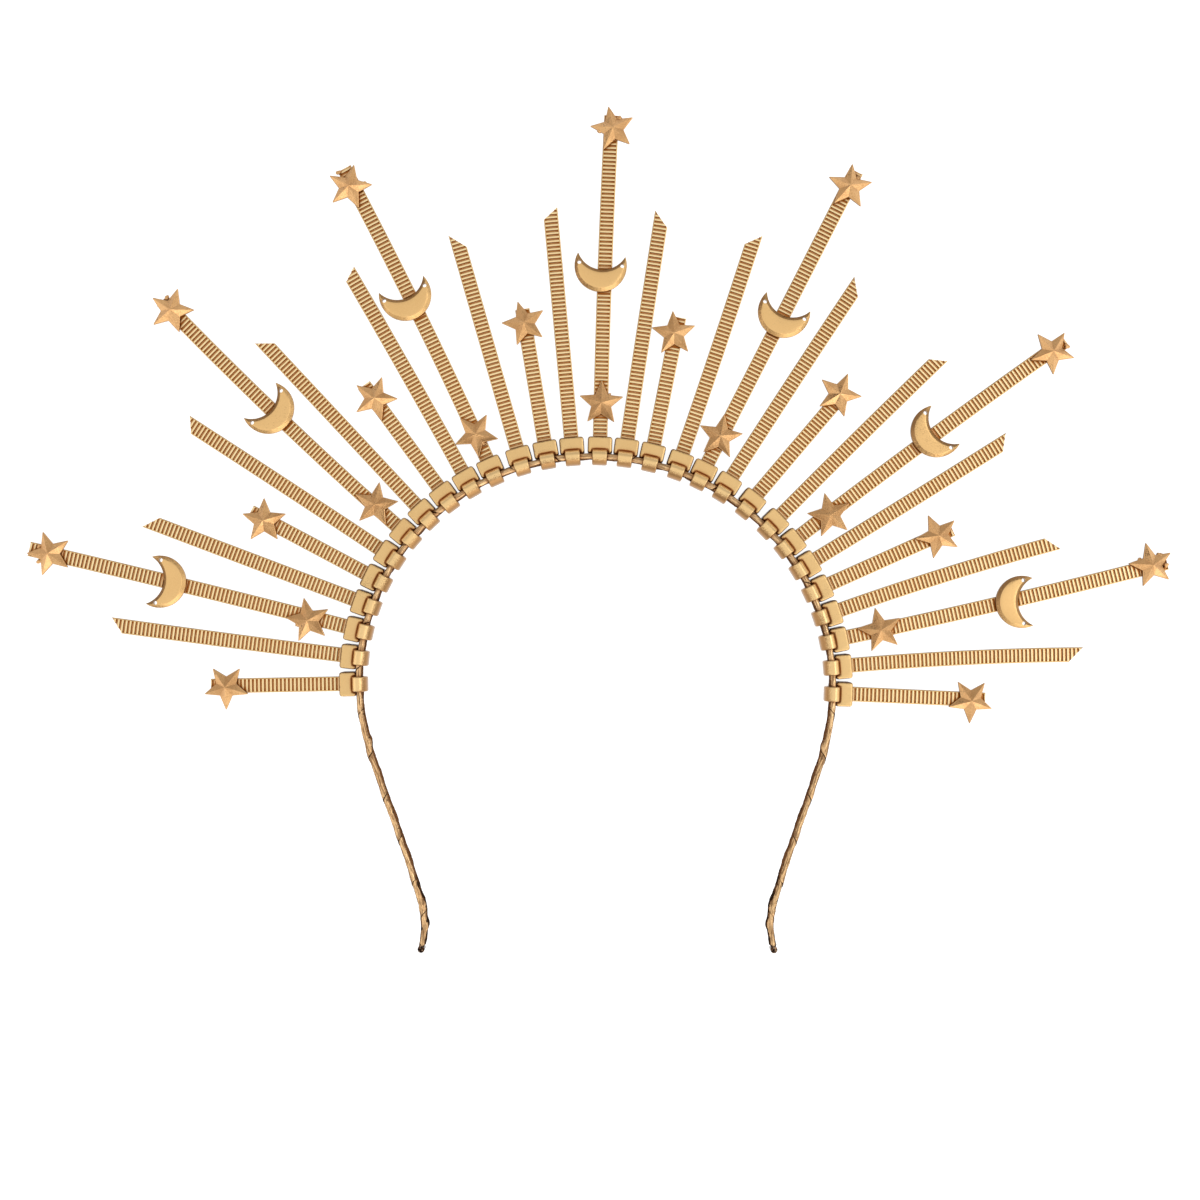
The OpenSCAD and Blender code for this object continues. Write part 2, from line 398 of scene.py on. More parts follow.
def block(low: Sequence[float], high: Sequence[float]) -> BMesh:
    """Starts a mesh as a block.

    Args:
        low: its lowest corner.
        high: its highest corner.

    Returns:
        The mesh.
    """
    bm = bmesh.new()
    size = Vector(high) - Vector(low)
    place = Matrix.Translation((Vector(high) + Vector(low)) / 2) @ Matrix.Diagonal((*size, 1))
    bmesh.ops.create_cube(bm, size=1.0, matrix=place)
    return bm


def edges_at(bm: BMesh, test: Test) -> list[BMEdge]:
    """Picks the edges whose two ends both pass a test."""
    return [e for e in bm.edges if all(test(v.co) for v in e.verts)]


def new_verts(geom: Iterable[object]) -> list[BMVert]:
    """The vertices among what an operator made."""
    return [item for item in geom if isinstance(item, BMVert)]


def new_edges(geom: Iterable[object]) -> list[BMEdge]:
    """The edges among what an operator made."""
    return [item for item in geom if isinstance(item, BMEdge)]


def round_off(
    bm: BMesh, geom: Iterable[object], width: float, steps: int, what: Rounded = Rounded.EDGES
) -> None:
    """Rounds edges, or the corners of a flat outline.

    Args:
        bm: the mesh.
        geom: the edges or vertices to round.
        width: the width of the rounding on each face.
        steps: its number of segments.
        what: whether edges or the corners of a flat outline are rounded.
    """
    bmesh.ops.bevel(
        bm,
        geom=list(geom),
        offset=width,
        offset_type="OFFSET",
        affect=what.value,
        segments=steps,
        profile=0.5,
        material=-1,
        clamp_overlap=True,
    )


def slice_at(bm: BMesh, spot: Vector, normal: Vector, snip: bool = False) -> None:
    """Cuts new edges into a mesh where a plane crosses it, and may snip off what lies beyond."""
    geom = [*bm.verts, *bm.edges, *bm.faces]
    bmesh.ops.bisect_plane(bm, geom=geom, dist=ON_PLANE, plane_co=spot, plane_no=normal, clear_outer=snip)


def score(bm: BMesh, axis: Axis, places: Iterable[float]) -> None:
    """Slices a mesh at some places along an axis."""
    for place in places:
        slice_at(bm, axis.unit() * place, axis.unit())


def score_evenly(bm: BMesh, low: float, high: float, longest: float) -> None:
    """Slices a mesh along X into even stretches, none of them over a longest length."""
    count = math.ceil((high - low) / longest)
    score(bm, Axis.X, [low + (high - low) * i / count for i in range(1, count)])


def close_ends(bm: BMesh) -> None:
    """Caps every open loop of edges."""
    bmesh.ops.holes_fill(bm, edges=[e for e in bm.edges if e.is_boundary], sides=0)


def post(bm: BMesh, middle: Vector, radius: float, length: float, segments: int) -> list[BMVert]:
    """Adds an upright cylinder.

    Args:
        bm: the mesh to add it to.
        middle: its middle.
        radius: its radius.
        length: its length, along Z.
        segments: the number of its sides.

    Returns:
        Its vertices.
    """
    return bmesh.ops.create_cone(
        bm,
        cap_ends=True,
        segments=segments,
        radius1=radius,
        radius2=radius,
        depth=length,
        matrix=Matrix.Translation(middle),
    )["verts"]


def into_mesh(bm: BMesh, name: str) -> Mesh:
    """Turns a finished bmesh into a mesh, with its faces pointing outwards.

    Args:
        bm: the bmesh, which is freed.
        name: the mesh's name.

    Returns:
        The mesh.
    """
    bmesh.ops.recalc_face_normals(bm, faces=bm.faces)
    mesh = bpy.data.meshes.new(name)
    bm.to_mesh(mesh)
    bm.free()
    return mesh


@dataclass
class Publisher:
    """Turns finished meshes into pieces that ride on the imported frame."""

    faces: int = 0
    pieces: int = 0

    def publish(
        self,
        bm: BMesh,
        name: str,
        finishes: Sequence[Material],
        stands_for: Sequence[str] = (),
        place: Optional[Matrix] = None,
        sharp: float = 32.0,
    ) -> Object:
        """Makes one piece.

        Args:
            bm: its mesh, in millimetres, which is used up.
            name: the piece's name.
            finishes: its materials, in the order of its faces' material numbers.
            stands_for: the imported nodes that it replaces.
            place: where it goes, in millimetres, if it isn't in place already.
            sharp: the angle in degrees past which an edge is shaded as a crease.

        Returns:
            The piece.
        """
        matrix = Matrix.Diagonal((MM, MM, MM, 1)) @ (place or Matrix.Identity(4))
        bmesh.ops.transform(bm, matrix=matrix, verts=bm.verts)
        mesh = into_mesh(bm, name)
        mesh.polygons.foreach_set("use_smooth", [True] * len(mesh.polygons))
        mesh.set_sharp_from_angle(angle=math.radians(sharp))
        for material in finishes:
            mesh.materials.append(material)
        piece = bpy.data.objects.new(name, mesh)
        bpy.context.scene.collection.objects.link(piece)
        shade = piece.modifiers.new("even_shading", "WEIGHTED_NORMAL")
        shade.keep_sharp = True
        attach(piece, BODY)
        if stands_for:
            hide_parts(*stands_for)
        self.pieces += 1
        self.faces += len(mesh.polygons)
        self.report(piece, stands_for)
        return piece

    @staticmethod
    def report(piece: Object, stands_for: Sequence[str]) -> None:
        """Logs a piece and how far its box is from the box of what it replaces.

        Args:
            piece: the piece.
            stands_for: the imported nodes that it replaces.
        """
        off = 0.0
        for node in stands_for:
            low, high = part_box(node)
            for i in range(3):
                here = [v.co[i] for v in piece.data.vertices]
                off = max(off, abs(min(here) - low[i]), abs(max(here) - high[i]))
        LOG.info("%s: %d faces, box within %.2f mm", piece.name, len(piece.data.polygons), off / MM)


class Nodes:
    """A short way to lay out and join shader nodes.

    MIXED_IN, MIXED_OUT: which sockets of a mix node are its colours.
    """

    MIXED_IN = (6, 7)
    MIXED_OUT = 2

    def __init__(self, tree: NodeTree) -> None:
        """Starts on a node tree, emptied."""
        self.tree = tree
        tree.nodes.clear()

    def add(self, kind: str, inputs: Optional[dict[str, object]] = None, **settings: object) -> Node:
        """Adds a node.

        Args:
            kind: the node's type.
            inputs: what its inputs get, by name.
            **settings: the node's own properties.

        Returns:
            The node.
        """
        node = self.tree.nodes.new(kind)
        for key, value in settings.items():
            setattr(node, key, value)
        for name, value in (inputs or {}).items():
            self.feed(node.inputs[name], value)
        return node

    def feed(self, socket: NodeSocket, value: object) -> None:
        """Gives an input what it takes.

        Args:
            socket: the input.
            value: the output to join to it, or its own value.
        """
        if isinstance(value, NodeSocket):
            self.tree.links.new(value, socket)
        else:
            socket.default_value = value

    def math(self, operation: str, *values: object, clamp: bool = False) -> NodeSocket:
        """Adds a sum of values or outputs.

        Args:
            operation: the sum's name.
            *values: the numbers or outputs that it takes.
            clamp: whether the answer is kept between 0 and 1.

        Returns:
            The answer's output.
        """
        node = self.add("ShaderNodeMath", operation=operation, use_clamp=clamp)
        for socket, value in zip(node.inputs, values):
            self.feed(socket, value)
        return node.outputs[0]

    def ramp(
        self, value: object, low: object, high: object, to_low: float = 0.0, to_high: float = 1.0
    ) -> NodeSocket:
        """Maps a range to another, smoothly and held at its ends.

        Args:
            value: the number or output to map.
            low: where the range starts.
            high: where it ends.
            to_low: the answer at its start.
            to_high: the answer at its end.

        Returns:
            The answer's output.
        """
        node = self.add("ShaderNodeMapRange", interpolation_type="SMOOTHSTEP")
        for socket, item in zip(node.inputs, (value, low, high, to_low, to_high)):
            self.feed(socket, item)
        return node.outputs[0]

    def mix(self, factor: object, first: object, second: object) -> NodeSocket:
        """Mixes two colours.

        Args:
            factor: how much of the second shows.
            first: a colour or output.
            second: a colour or output.

        Returns:
            The mixed colour's output.
        """
        node = self.add("ShaderNodeMix", data_type="RGBA")
        self.feed(node.inputs["Factor"], factor)
        for i, value in zip(self.MIXED_IN, (first, second)):
            self.feed(node.inputs[i], value)
        return node.outputs[self.MIXED_OUT]

    def vector(self, operation: str, *values: object) -> NodeSocket:
        """Adds a sum of vectors.

        Args:
            operation: the sum's name.
            *values: the vectors or outputs that it takes.

        Returns:
            The answer's output.
        """
        node = self.add("ShaderNodeVectorMath", operation=operation)
        for socket, value in zip(node.inputs, values):
            self.feed(socket, value)
        return node.outputs["Value" if operation == "DOT_PRODUCT" else "Vector"]

    def noise(self, vector: NodeSocket, scale: object, detail: float) -> NodeSocket:
        """Adds noise over a vector, and gives the output of its value."""
        node = self.add("ShaderNodeTexNoise", {"Vector": vector, "Scale": scale, "Detail": detail})
        return node.outputs["Fac"]

    def shade(self, values: dict[str, object]) -> None:
        """Ends a material with its shader, whose inputs get these values by name."""
        shader = self.add("ShaderNodeBsdfPrincipled", values)
        self.add("ShaderNodeOutputMaterial", {"Surface": shader.outputs["BSDF"]})


def rgba(colour: Colour) -> tuple[float, float, float, float]:
    """A colour with full alpha, as sockets want it."""
    return (*colour, 1.0)


class SharedEffect:
    """A shader node group that several finishes share. Each kind has its own sockets and nodes."""

    NAME: str
    INPUTS: dict[str, object]
    OUTPUTS: tuple[str, ...]

    @classmethod
    def group(cls) -> NodeTree:
        """Builds the group the first time that it is asked for.

        Returns:
            The group.
        """
        made = bpy.data.node_groups.get(cls.NAME)
        if made:
            return made
        made = bpy.data.node_groups.new(cls.NAME, "ShaderNodeTree")
        for name, value in cls.INPUTS.items():
            kind = "NodeSocketVector" if isinstance(value, tuple) else "NodeSocketFloat"
            made.interface.new_socket(name, in_out="INPUT", socket_type=kind).default_value = value
        for name in cls.OUTPUTS:
            made.interface.new_socket(name, in_out="OUTPUT", socket_type="NodeSocketFloat")
        nodes = Nodes(made)
        given = dict(nodes.add("NodeGroupInput").outputs.items())
        nodes.add("NodeGroupOutput", cls.work_out(nodes, given))
        return made

    @classmethod
    def work_out(cls, nodes: Nodes, given: Sockets) -> Sockets:
        """Lays out the nodes that lead from the group's inputs to its outputs."""
        raise NotImplementedError


class SprayGrain(SharedEffect):
    """The fine grain of sprayed metallic paint.

    It takes a vector in metres and the sizes of the grain and of its clouds in millimetres. It
    gives a tone about 0.5, with cloudy patches in it, and a height for a bump.
    """

    NAME = "spray_grain"
    INPUTS = {"Vector": (0.0, 0.0, 0.0), "Grain mm": 0.3, "Cloud mm": 12.0}
    OUTPUTS = ("Tone", "Height")
    FINE_SHARE = 0.55
    CLOUD_SHARE = 0.45

    @classmethod
    def work_out(cls, nodes: Nodes, given: Sockets) -> Sockets:
        """Adds the fine grain and the clouds up.

        Args:
            nodes: the group's nodes.
            given: its inputs, by name.

        Returns:
            What its outputs give, by name.
        """
        where = given["Vector"]
        fine = nodes.noise(where, nodes.math("DIVIDE", 1 / MM, given["Grain mm"]), FINE_DETAIL)
        cloud = nodes.noise(where, nodes.math("DIVIDE", 1 / MM, given["Cloud mm"]), CLOUD_DETAIL)
        fine_part = nodes.math("MULTIPLY", fine, cls.FINE_SHARE)
        return {"Tone": nodes.math("MULTIPLY_ADD", cloud, cls.CLOUD_SHARE, fine_part), "Height": fine}


class PaintAndShadeReach(SharedEffect):
    """Where the spray reached, and where painted shade falls.

    It takes how squarely a face looks towards the spray and the light, how open it lies and a
    tone that breaks the border up. It gives two masks, each partly paint cover and partly
    painted shade: 1 where the paint covers fully and is lit, and 1 where it has at least dusted
    the piece. Hollows take painted shade off the first.
    """

    NAME = "paint_reach_and_shade"
    INPUTS = {"Front": 1.0, "Open": 1.0, "Tone": 0.5, "Reach": 0.0, "Hollow shading": 0.0, "Border": 0.25, "Dust": -1.1}
    OUTPUTS = ("Covered", "Dusted")
    BREAK_UP = 1.6
    DUST_BORDER = 0.6

    @classmethod
    def work_out(cls, nodes: Nodes, given: Sockets) -> Sockets:
        """Works the two masks out.

        Args:
            nodes: the group's nodes.
            given: its inputs, by name.

        Returns:
            What its outputs give, by name.
        """
        off_tone = nodes.math("SUBTRACT", given["Tone"], 0.5)
        broken = nodes.math("MULTIPLY_ADD", off_tone, cls.BREAK_UP, given["Front"])
        lit = nodes.math("ADD", broken, given["Reach"])
        border = given["Border"]
        by_facing = nodes.ramp(lit, nodes.math("MULTIPLY", border, -1.0), border)
        # Painted shade: hollows lose cover
        shut = nodes.math("MULTIPLY", nodes.math("SUBTRACT", 1.0, given["Open"]), given["Hollow shading"])
        dust_end = nodes.math("ADD", given["Dust"], cls.DUST_BORDER)
        return {
            "Covered": nodes.math("SUBTRACT", by_facing, shut, clamp=True),
            "Dusted": nodes.ramp(lit, given["Dust"], dust_end),
        }


# Where the spray came from, set towards the light at the lower right: faces turned from it get less cover and
# painted shade
SPRAY_AND_LIGHT_FROM = (0.3, -0.18, 0.94)


class Mask(Enum):
    """The two masks of the paint's reach and of its painted shade."""

    COVERED = "Covered"
    DUSTED = "Dusted"


@dataclass(frozen=True)
class SprayedGold:
    """Satin gold spray paint over a dark piece, with painted shade where light falls less.

    gold, warm: the paint where it lies even, and where it clouds. bare: where it never
    reached. shade: painted shade on faces turned from the light, which also stands for paint
    only dusted on. hollow_shade: painted shade in a hollow. raw: how metallic it looks outside
    the metal mask. reach, border: how far round from the spray and the light it stays fully
    covered and lit, and how soft its border is. dust: how far round it dusts, further where it
    is lower. spray, fan: where the spray and the light come from, and how far from outside the
    arch. hollow_shading: how much less cover, and so more painted shade, a hollow gets.
    open_mm, shut_below, open_above: how far a hollow is looked for, and which share of the sky
    is a hollow's or an open place's. tone_depth: how strongly it clouds. clouds: the tones
    where that starts and ends. smoother, rougher: how far its roughness varies.
    """

    name: str
    gold: Colour = (0.82, 0.55, 0.24)
    warm: Colour = (0.74, 0.46, 0.185)
    bare: Colour = (0.06, 0.03, 0.014)
    shade: Colour = (0.24, 0.11, 0.035)
    hollow_shade: Colour = (0.40, 0.12, 0.017)
    roughness: float = 0.4
    metallic: float = 0.88
    raw: float = 0.2
    metal_mask: Mask = Mask.DUSTED
    specular: float = 0.5
    coat: float = 0.15
    grain_mm: float = 0.28
    cloud_mm: float = 14.0
    bump_mm: float = 0.012
    reach: float = -0.5
    border: float = 0.25
    dust: float = -1.1
    spray: tuple[float, float, float] = SPRAY_AND_LIGHT_FROM
    fan: float = 0.0
    hollow_shading: float = 0.1
    open_mm: float = 1.6
    shut_below: float = 0.38
    open_above: float = 0.96
    open_rays: int = 8
    tone_depth: float = 0.5
    clouds: tuple[float, float] = (0.36, 0.64)
    metal_full: float = 0.6
    rough_tones: tuple[float, float] = (0.3, 0.7)
    smoother: float = 0.05
    rougher: float = 0.07
    coat_roughness: float = 0.3

    def build(self) -> Material:
        """Builds the finish.

        Returns:
            The material.
        """
        material = bpy.data.materials.new(self.name)
        material.use_nodes = True
        nodes = Nodes(material.node_tree)
        where = nodes.add("ShaderNodeTexCoord").outputs["Object"]
        grain = nodes.add(
            "ShaderNodeGroup",
            {"Vector": where, "Grain mm": self.grain_mm, "Cloud mm": self.cloud_mm},
            node_tree=SprayGrain.group(),
        )
        tone = grain.outputs["Tone"]
        normal = nodes.add("ShaderNodeNewGeometry").outputs["Normal"]
        # How squarely a face looks at the spray and the light; faces turned away take painted shade
        front = nodes.vector("DOT_PRODUCT", normal, self.spray_and_light_from(nodes, where))
        # Occlusion finds the hollows, which get painted shade: less cover and a deep brown
        hollow = nodes.add(
            "ShaderNodeAmbientOcclusion", {"Distance": self.open_mm * MM}, samples=self.open_rays
        )
        open_unshaded = nodes.ramp(hollow.outputs["AO"], self.shut_below, self.open_above)
        reached = {
            "Front": front,
            "Open": open_unshaded,
            "Tone": tone,
            "Reach": self.reach,
            "Border": self.border,
            "Hollow shading": self.hollow_shading,
            "Dust": self.dust,
        }
        reach = nodes.add("ShaderNodeGroup", reached, node_tree=PaintAndShadeReach.group())
        cloudy = nodes.math("MULTIPLY", nodes.ramp(tone, *self.clouds), self.tone_depth)
        fresh = nodes.mix(cloudy, rgba(self.gold), rgba(self.warm))
        # Painted shade: hollows darken to a deep brown
        paint = nodes.mix(open_unshaded, rgba(self.hollow_shade), fresh)
        # Painted shade: faces turned from the light darken to the shade colour, and to the bare colour where
        # even the dust missed
        under = nodes.mix(reach.outputs["Dusted"], rgba(self.bare), rgba(self.shade))
        painted = nodes.mix(reach.outputs["Covered"], under, paint)
        height = self.relief(nodes, grain.outputs["Height"])
        bump = nodes.add("ShaderNodeBump", {"Distance": self.bump_mm * MM, "Height": height})
        metal = reach.outputs[self.metal_mask.value]
        smoothest, roughest = self.roughness - self.smoother, self.roughness + self.rougher
        nodes.shade({
            "Base Color": self.wear(nodes, painted, front),
            "Metallic": nodes.ramp(metal, 0.0, self.metal_full, self.raw, self.metallic),
            "Roughness": nodes.ramp(tone, *self.rough_tones, smoothest, roughest),
            "Normal": bump.outputs["Normal"],
            "Specular IOR Level": self.specular,
            "Coat Weight": self.coat,
            "Coat Roughness": self.coat_roughness,
        })
        return material

    def spray_and_light_from(self, nodes: Nodes, where: NodeSocket) -> NodeSocket:
        """Works out the direction that the spray and the light come from at a point.

        Args:
            nodes: the material's nodes.
            where: the point.

        Returns:
            The direction's output.
        """
        outward = nodes.vector("NORMALIZE", nodes.vector("MULTIPLY", where, (1.0, 1.0, 0.0)))
        straight = Vector(self.spray).normalized() * math.sqrt(1 - self.fan**2)
        return nodes.vector("MULTIPLY_ADD", outward, (self.fan, self.fan, 0.0), straight)

    def relief(self, nodes: Nodes, grain: NodeSocket) -> NodeSocket:
        """The height that the bump follows. Plain paint has only its grain."""
        return grain

    def wear(self, nodes: Nodes, colour: NodeSocket, front: NodeSocket) -> NodeSocket:
        """Wears the painted colour, given how squarely the face looks at the spray. Paint has no wear."""
        return colour


@dataclass(frozen=True)
class RibbonGold(SprayedGold):
    """Gold on the wound ribbon: creased, patchy, and dark along the edge of each turn.

    half_width, seam: half the ribbon's width, and the width of its dark edge. seam_broken,
    seam_least: the tones between which that edge breaks up, and what is left of it. patch_mm,
    missed: the size of the unpainted patches, and the tones where they start and end. end_mm:
    how far the leg's end reaches. end_turned, turned: how much sooner faces turned away darken
    to the bare colour, there and elsewhere. streak_long, streak_wide, streak_height: the
    creases. streaked: the tones between which painted shade darkens them. leg_streaks,
    arch_streaks: how much painted crease shade, on the legs and on the arch. arch_mm: how far
    from the ribbon's end that changes.
    """

    half_width: float = 5.4
    seam: float = 0.3
    seam_broken: tuple[float, float] = (0.34, 0.5)
    seam_least: float = 0.3
    patch_mm: float = 1.7
    missed: tuple[float, float] = (0.68, 0.76)
    end_mm: float = 36.0
    end_turned: float = 0.34
    turned: float = 0.1
    streak_long: float = 4.0
    streak_wide: float = 0.32
    streak_height: float = 1.6
    streaked: tuple[float, float] = (0.56, 0.4)
    leg_streaks: float = 0.8
    arch_streaks: float = 0.62
    arch_mm: tuple[float, float] = (100.0, 120.0)

    def streaks(self, nodes: Nodes) -> NodeSocket:
        """Draws noise out along the band.

        Args:
            nodes: the material's nodes.

        Returns:
            The noise's output.
        """
        lie = nodes.add("ShaderNodeUVMap", uv_map="lie").outputs["UV"]
        drawn_out = nodes.vector("MULTIPLY", lie, (1 / self.streak_long, 1 / self.streak_wide, 0.0))
        return nodes.noise(drawn_out, 1.0, FINE_DETAIL)

    def relief(self, nodes: Nodes, grain: NodeSocket) -> NodeSocket:
        """Adds creases that run along the band to the grain."""
        return nodes.math("MULTIPLY_ADD", self.streaks(nodes), self.streak_height, grain)

    def wear(self, nodes: Nodes, colour: NodeSocket, front: NodeSocket) -> NodeSocket:
        """Darkens the ribbon's edges and its unpainted patches, and paints shade into its creases.

        Args:
            nodes: the material's nodes.
            colour: the painted colour.
            front: how squarely the face looks towards the spray.

        Returns:
            The worn colour.
        """
        uv = nodes.add("ShaderNodeUVMap", uv_map="weave").outputs["UV"]
        weave = nodes.add("ShaderNodeSeparateXYZ", {"Vector": uv})
        off_middle = nodes.math("ABSOLUTE", weave.outputs["Y"])
        seam = nodes.ramp(off_middle, self.half_width - self.seam, self.half_width - self.seam / 2)
        where = nodes.add("ShaderNodeTexCoord").outputs["Object"]
        patchy = nodes.noise(where, 1 / (self.patch_mm * MM), FINE_DETAIL)
        along = weave.outputs["X"]
        turned = nodes.ramp(along, self.end_mm / 2, self.end_mm, self.end_turned, self.turned)
        missing = nodes.math("MULTIPLY_ADD", nodes.math("SUBTRACT", 1.0, front), turned, patchy)
        broken = nodes.math("MULTIPLY", seam, nodes.ramp(patchy, *self.seam_broken, self.seam_least, 1.0))
        dark = nodes.math("MAXIMUM", broken, nodes.ramp(missing, *self.missed))
        # Painted shade: the creases darken along the band, less on the arch
        streaky = nodes.ramp(along, *self.arch_mm, self.leg_streaks, self.arch_streaks)
        crease_shade = nodes.math("MULTIPLY", nodes.ramp(self.streaks(nodes), *self.streaked), streaky)
        crease_shaded = nodes.mix(crease_shade, colour, rgba(self.shade))
        return nodes.mix(dark, crease_shaded, rgba(self.bare))


# Heads and straps: a dark painted shade on edges and sides turned from the light
TIE_GOLD = SprayedGold("gold_on_ties", shade=(0.19, 0.085, 0.027), reach=-0.6)
# Loops: a lighter gold than the heads for a painted highlight, and a tan painted shade on sides turned from
# the light, most on the inner sides of the top loops
HIGHLIT_LOOP_GOLD = SprayedGold(
    "gold_on_loops_painted_light",
    gold=(0.90, 0.62, 0.29),
    warm=(0.80, 0.52, 0.22),
    shade=(0.36, 0.19, 0.07),
    roughness=0.33,
    reach=-0.62,
    border=0.22,
    dust=-1.6,
    spray=(0.0, 0.28, 0.96),
    fan=0.32,
    shut_below=0.45,
    open_above=0.98,
)
# Teeth: a lighter gold for a painted highlight on their crests, and a deep brown of painted shade between
# them
HIGHLIT_TOOTH_GOLD = SprayedGold(
    "gold_on_teeth_painted_light",
    gold=(1.0, 0.78, 0.43),
    warm=(0.95, 0.68, 0.34),
    hollow_shade=(0.42, 0.12, 0.012),
    metallic=0.96,
    coat=0.0,
    bump_mm=0.006,
    shut_below=0.56,
    open_above=0.99,
)
# Stars: a dark painted shade on rims and facets turned from the light, which draws a dark outline on their
# upper left
STAR_GOLD = SprayedGold(
    "gold_on_stars",
    gold=(0.84, 0.50, 0.215),
    warm=(0.56, 0.295, 0.112),
    shade=(0.18, 0.08, 0.027),
    roughness=0.38,
    coat=0.3,
    grain_mm=0.36,
    cloud_mm=5.0,
    bump_mm=0.045,
    reach=-0.42,
    border=0.16,
    tone_depth=0.9,
)
# Moons: bevels turned from the light take painted shade
MOON_GOLD = SprayedGold(
    "gold_on_moons",
    gold=(0.86, 0.545, 0.225),
    warm=(0.76, 0.465, 0.18),
    shade=(0.36, 0.19, 0.07),
    roughness=0.38,
    grain_mm=0.4,
    bump_mm=0.02,
    reach=-0.62,
)
# Painted shade: a darker gold for the bevel and wall along each moon's hollow
SHADED_HOLLOW_GOLD = SprayedGold(
    "gold_in_moon_hollows_painted_shade",
    gold=(0.44, 0.25, 0.09),
    warm=(0.34, 0.18, 0.06),
    shade=(0.24, 0.12, 0.04),
    grain_mm=0.4,
    bump_mm=0.02,
)
# Ribbon: sides turned from the light darken, partly as unpainted ribbon and partly as painted shade; creases
# and hollows take painted shade
RIBBON_GOLD = RibbonGold(
    "gold_on_ribbon",
    gold=(0.92, 0.62, 0.32),
    warm=(0.52, 0.28, 0.12),
    bare=(0.022, 0.011, 0.006),
    shade=(0.14, 0.06, 0.024),
    roughness=0.3,
    raw=0.0,
    metal_mask=Mask.COVERED,
    specular=0.0,
    coat=0.0,
    grain_mm=0.45,
    bump_mm=0.05,
    reach=-0.6,
    spray=(0.06, -0.12, 0.99),
    shut_below=0.2,
    open_above=0.92,
    tone_depth=0.7,
)
BAND_STEEL = SprayedGold(
    "worn_band_end",
    gold=(0.46, 0.30, 0.19),
    warm=(0.012, 0.006, 0.004),
    roughness=0.3,
    metallic=0.9,
    raw=0.9,
    specular=0.1,
    coat=0.0,
    grain_mm=0.6,
    bump_mm=0.08,
    reach=0.4,
    tone_depth=2.6,
)


@dataclass(frozen=True)
class PaleFloor:
    """The plain white ground that the crown lies on."""

    name: str = "pale_floor"
    colour: Colour = (0.5, 0.5, 0.5)
    roughness: float = 0.9
    glow: float = 0.88

    def build(self) -> Material:
        """Builds the finish.

        Returns:
            The material.
        """
        material = bpy.data.materials.new(self.name)
        material.use_nodes = True
        nodes = Nodes(material.node_tree)
        nodes.shade({
            "Base Color": rgba(self.colour),
            "Roughness": self.roughness,
            "Specular IOR Level": 0.0,
            "Emission Color": rgba((1.0, 1.0, 1.0)),
            "Emission Strength": self.glow,
        })
        return material


TOOTH_FACES = 1
LOOP_FACES = 2
HOLLOW_FACES = 1


@dataclass(frozen=True)
class StrapSection:
    """The section of a tie's strap and the teeth along its front.

    rail, channel: the rails' width, and how far the channel lies below them. edge: the rounding
    of the outer edges. pitch, tooth, crest: the teeth's spacing, and their length at the foot
    and at the crest. steep: how far the steep side leans. crest_round: the rounding of the
    crest. into_rail, into_floor: how far a tooth runs into its neighbours.
    """

    width: float = 4.4
    thick: float = 1.2
    middle_z: float = 2.15
    rail: float = 0.32
    channel: float = 0.42
    edge: float = 0.22
    pitch: float = 1.2
    tooth: float = 0.7
    crest: float = 0.58
    steep: float = 0.06
    crest_round: float = 0.1
    into_rail: float = 0.03
    into_floor: float = 0.1

    @property
    def top(self) -> float:
        """The height of the rails' tops."""
        return self.middle_z + self.thick / 2

    @property
    def floor(self) -> float:
        """The height of the channel's floor, between the teeth."""
        return self.top - self.channel

    def outline(self, bm: BMesh, x: float) -> BMFace:
        """Draws the strap's section, a slab with a channel between two rails.

        Args:
            bm: the mesh to draw in.
            x: where along the strap it is drawn.

        Returns:
            The section's face.
        """
        half, inner, low = self.width / 2, self.width / 2 - self.rail, self.top - self.thick
        corners = [
            (-half, low), (half, low), (half, self.top), (inner, self.top),
            (inner, self.floor), (-inner, self.floor), (-inner, self.top), (-half, self.top),
        ]
        return bm.faces.new([bm.verts.new((x, y, z)) for y, z in corners])

    def strap(self, start: float, end: float) -> BMesh:
        """Draws the section out into a straight strap.

        Args:
            start: where it starts.
            end: where it ends.

        Returns:
            The strap's mesh, along X.
        """
        bm = bmesh.new()
        face = self.outline(bm, start)
        grown = bmesh.ops.extrude_face_region(bm, geom=[face])["geom"]
        bmesh.ops.translate(bm, verts=new_verts(grown), vec=(end - start, 0, 0))
        outer = edges_at(bm, lambda co: abs(co.y) > self.width / 2 - CLOSE)
        round_off(bm, filter(Axis.X.follows, outer), self.edge, EVEN_STEPS)
        for face in bm.faces:
            co = face.calc_center_median()
            if abs(co.z - self.floor) < CLOSE and abs(co.y) < CLOSE:
                face.material_index = TOOTH_FACES
        return bm

    def add_teeth(self, bm: BMesh, start: float, end: float) -> None:
        """Sets a row of teeth in the channel, steep towards the head and sloping to the tip.

        Args:
            bm: the strap's mesh.
            start: where the first tooth starts.
            end: where the last one may end.
        """
        inner = self.width / 2 - self.rail + self.into_rail
        sunk = self.floor - self.into_floor
        crest_edges = []
        for i in range(int((end - start) / self.pitch) + 1):
            x = start + i * self.pitch
            verts = bmesh.ops.create_cube(bm, size=1.0)["verts"]
            for v in verts:
                far, high = v.co.x > 0, v.co.z > 0
                top = self.steep + self.crest if far else self.steep
                foot = self.tooth if far else 0.0
                side = math.copysign(inner, v.co.y)
                v.co = (x + (top if high else foot), side, self.top if high else sunk)
            for face in {f for v in verts for f in v.link_faces}:
                face.material_index = TOOTH_FACES
            edges = {e for v in verts for e in v.link_edges if Axis.Y.follows(e)}
            crest_edges += [e for e in edges if e.verts[0].co.z > sunk + CLOSE]
        round_off(bm, crest_edges, self.crest_round, FEW_STEPS)


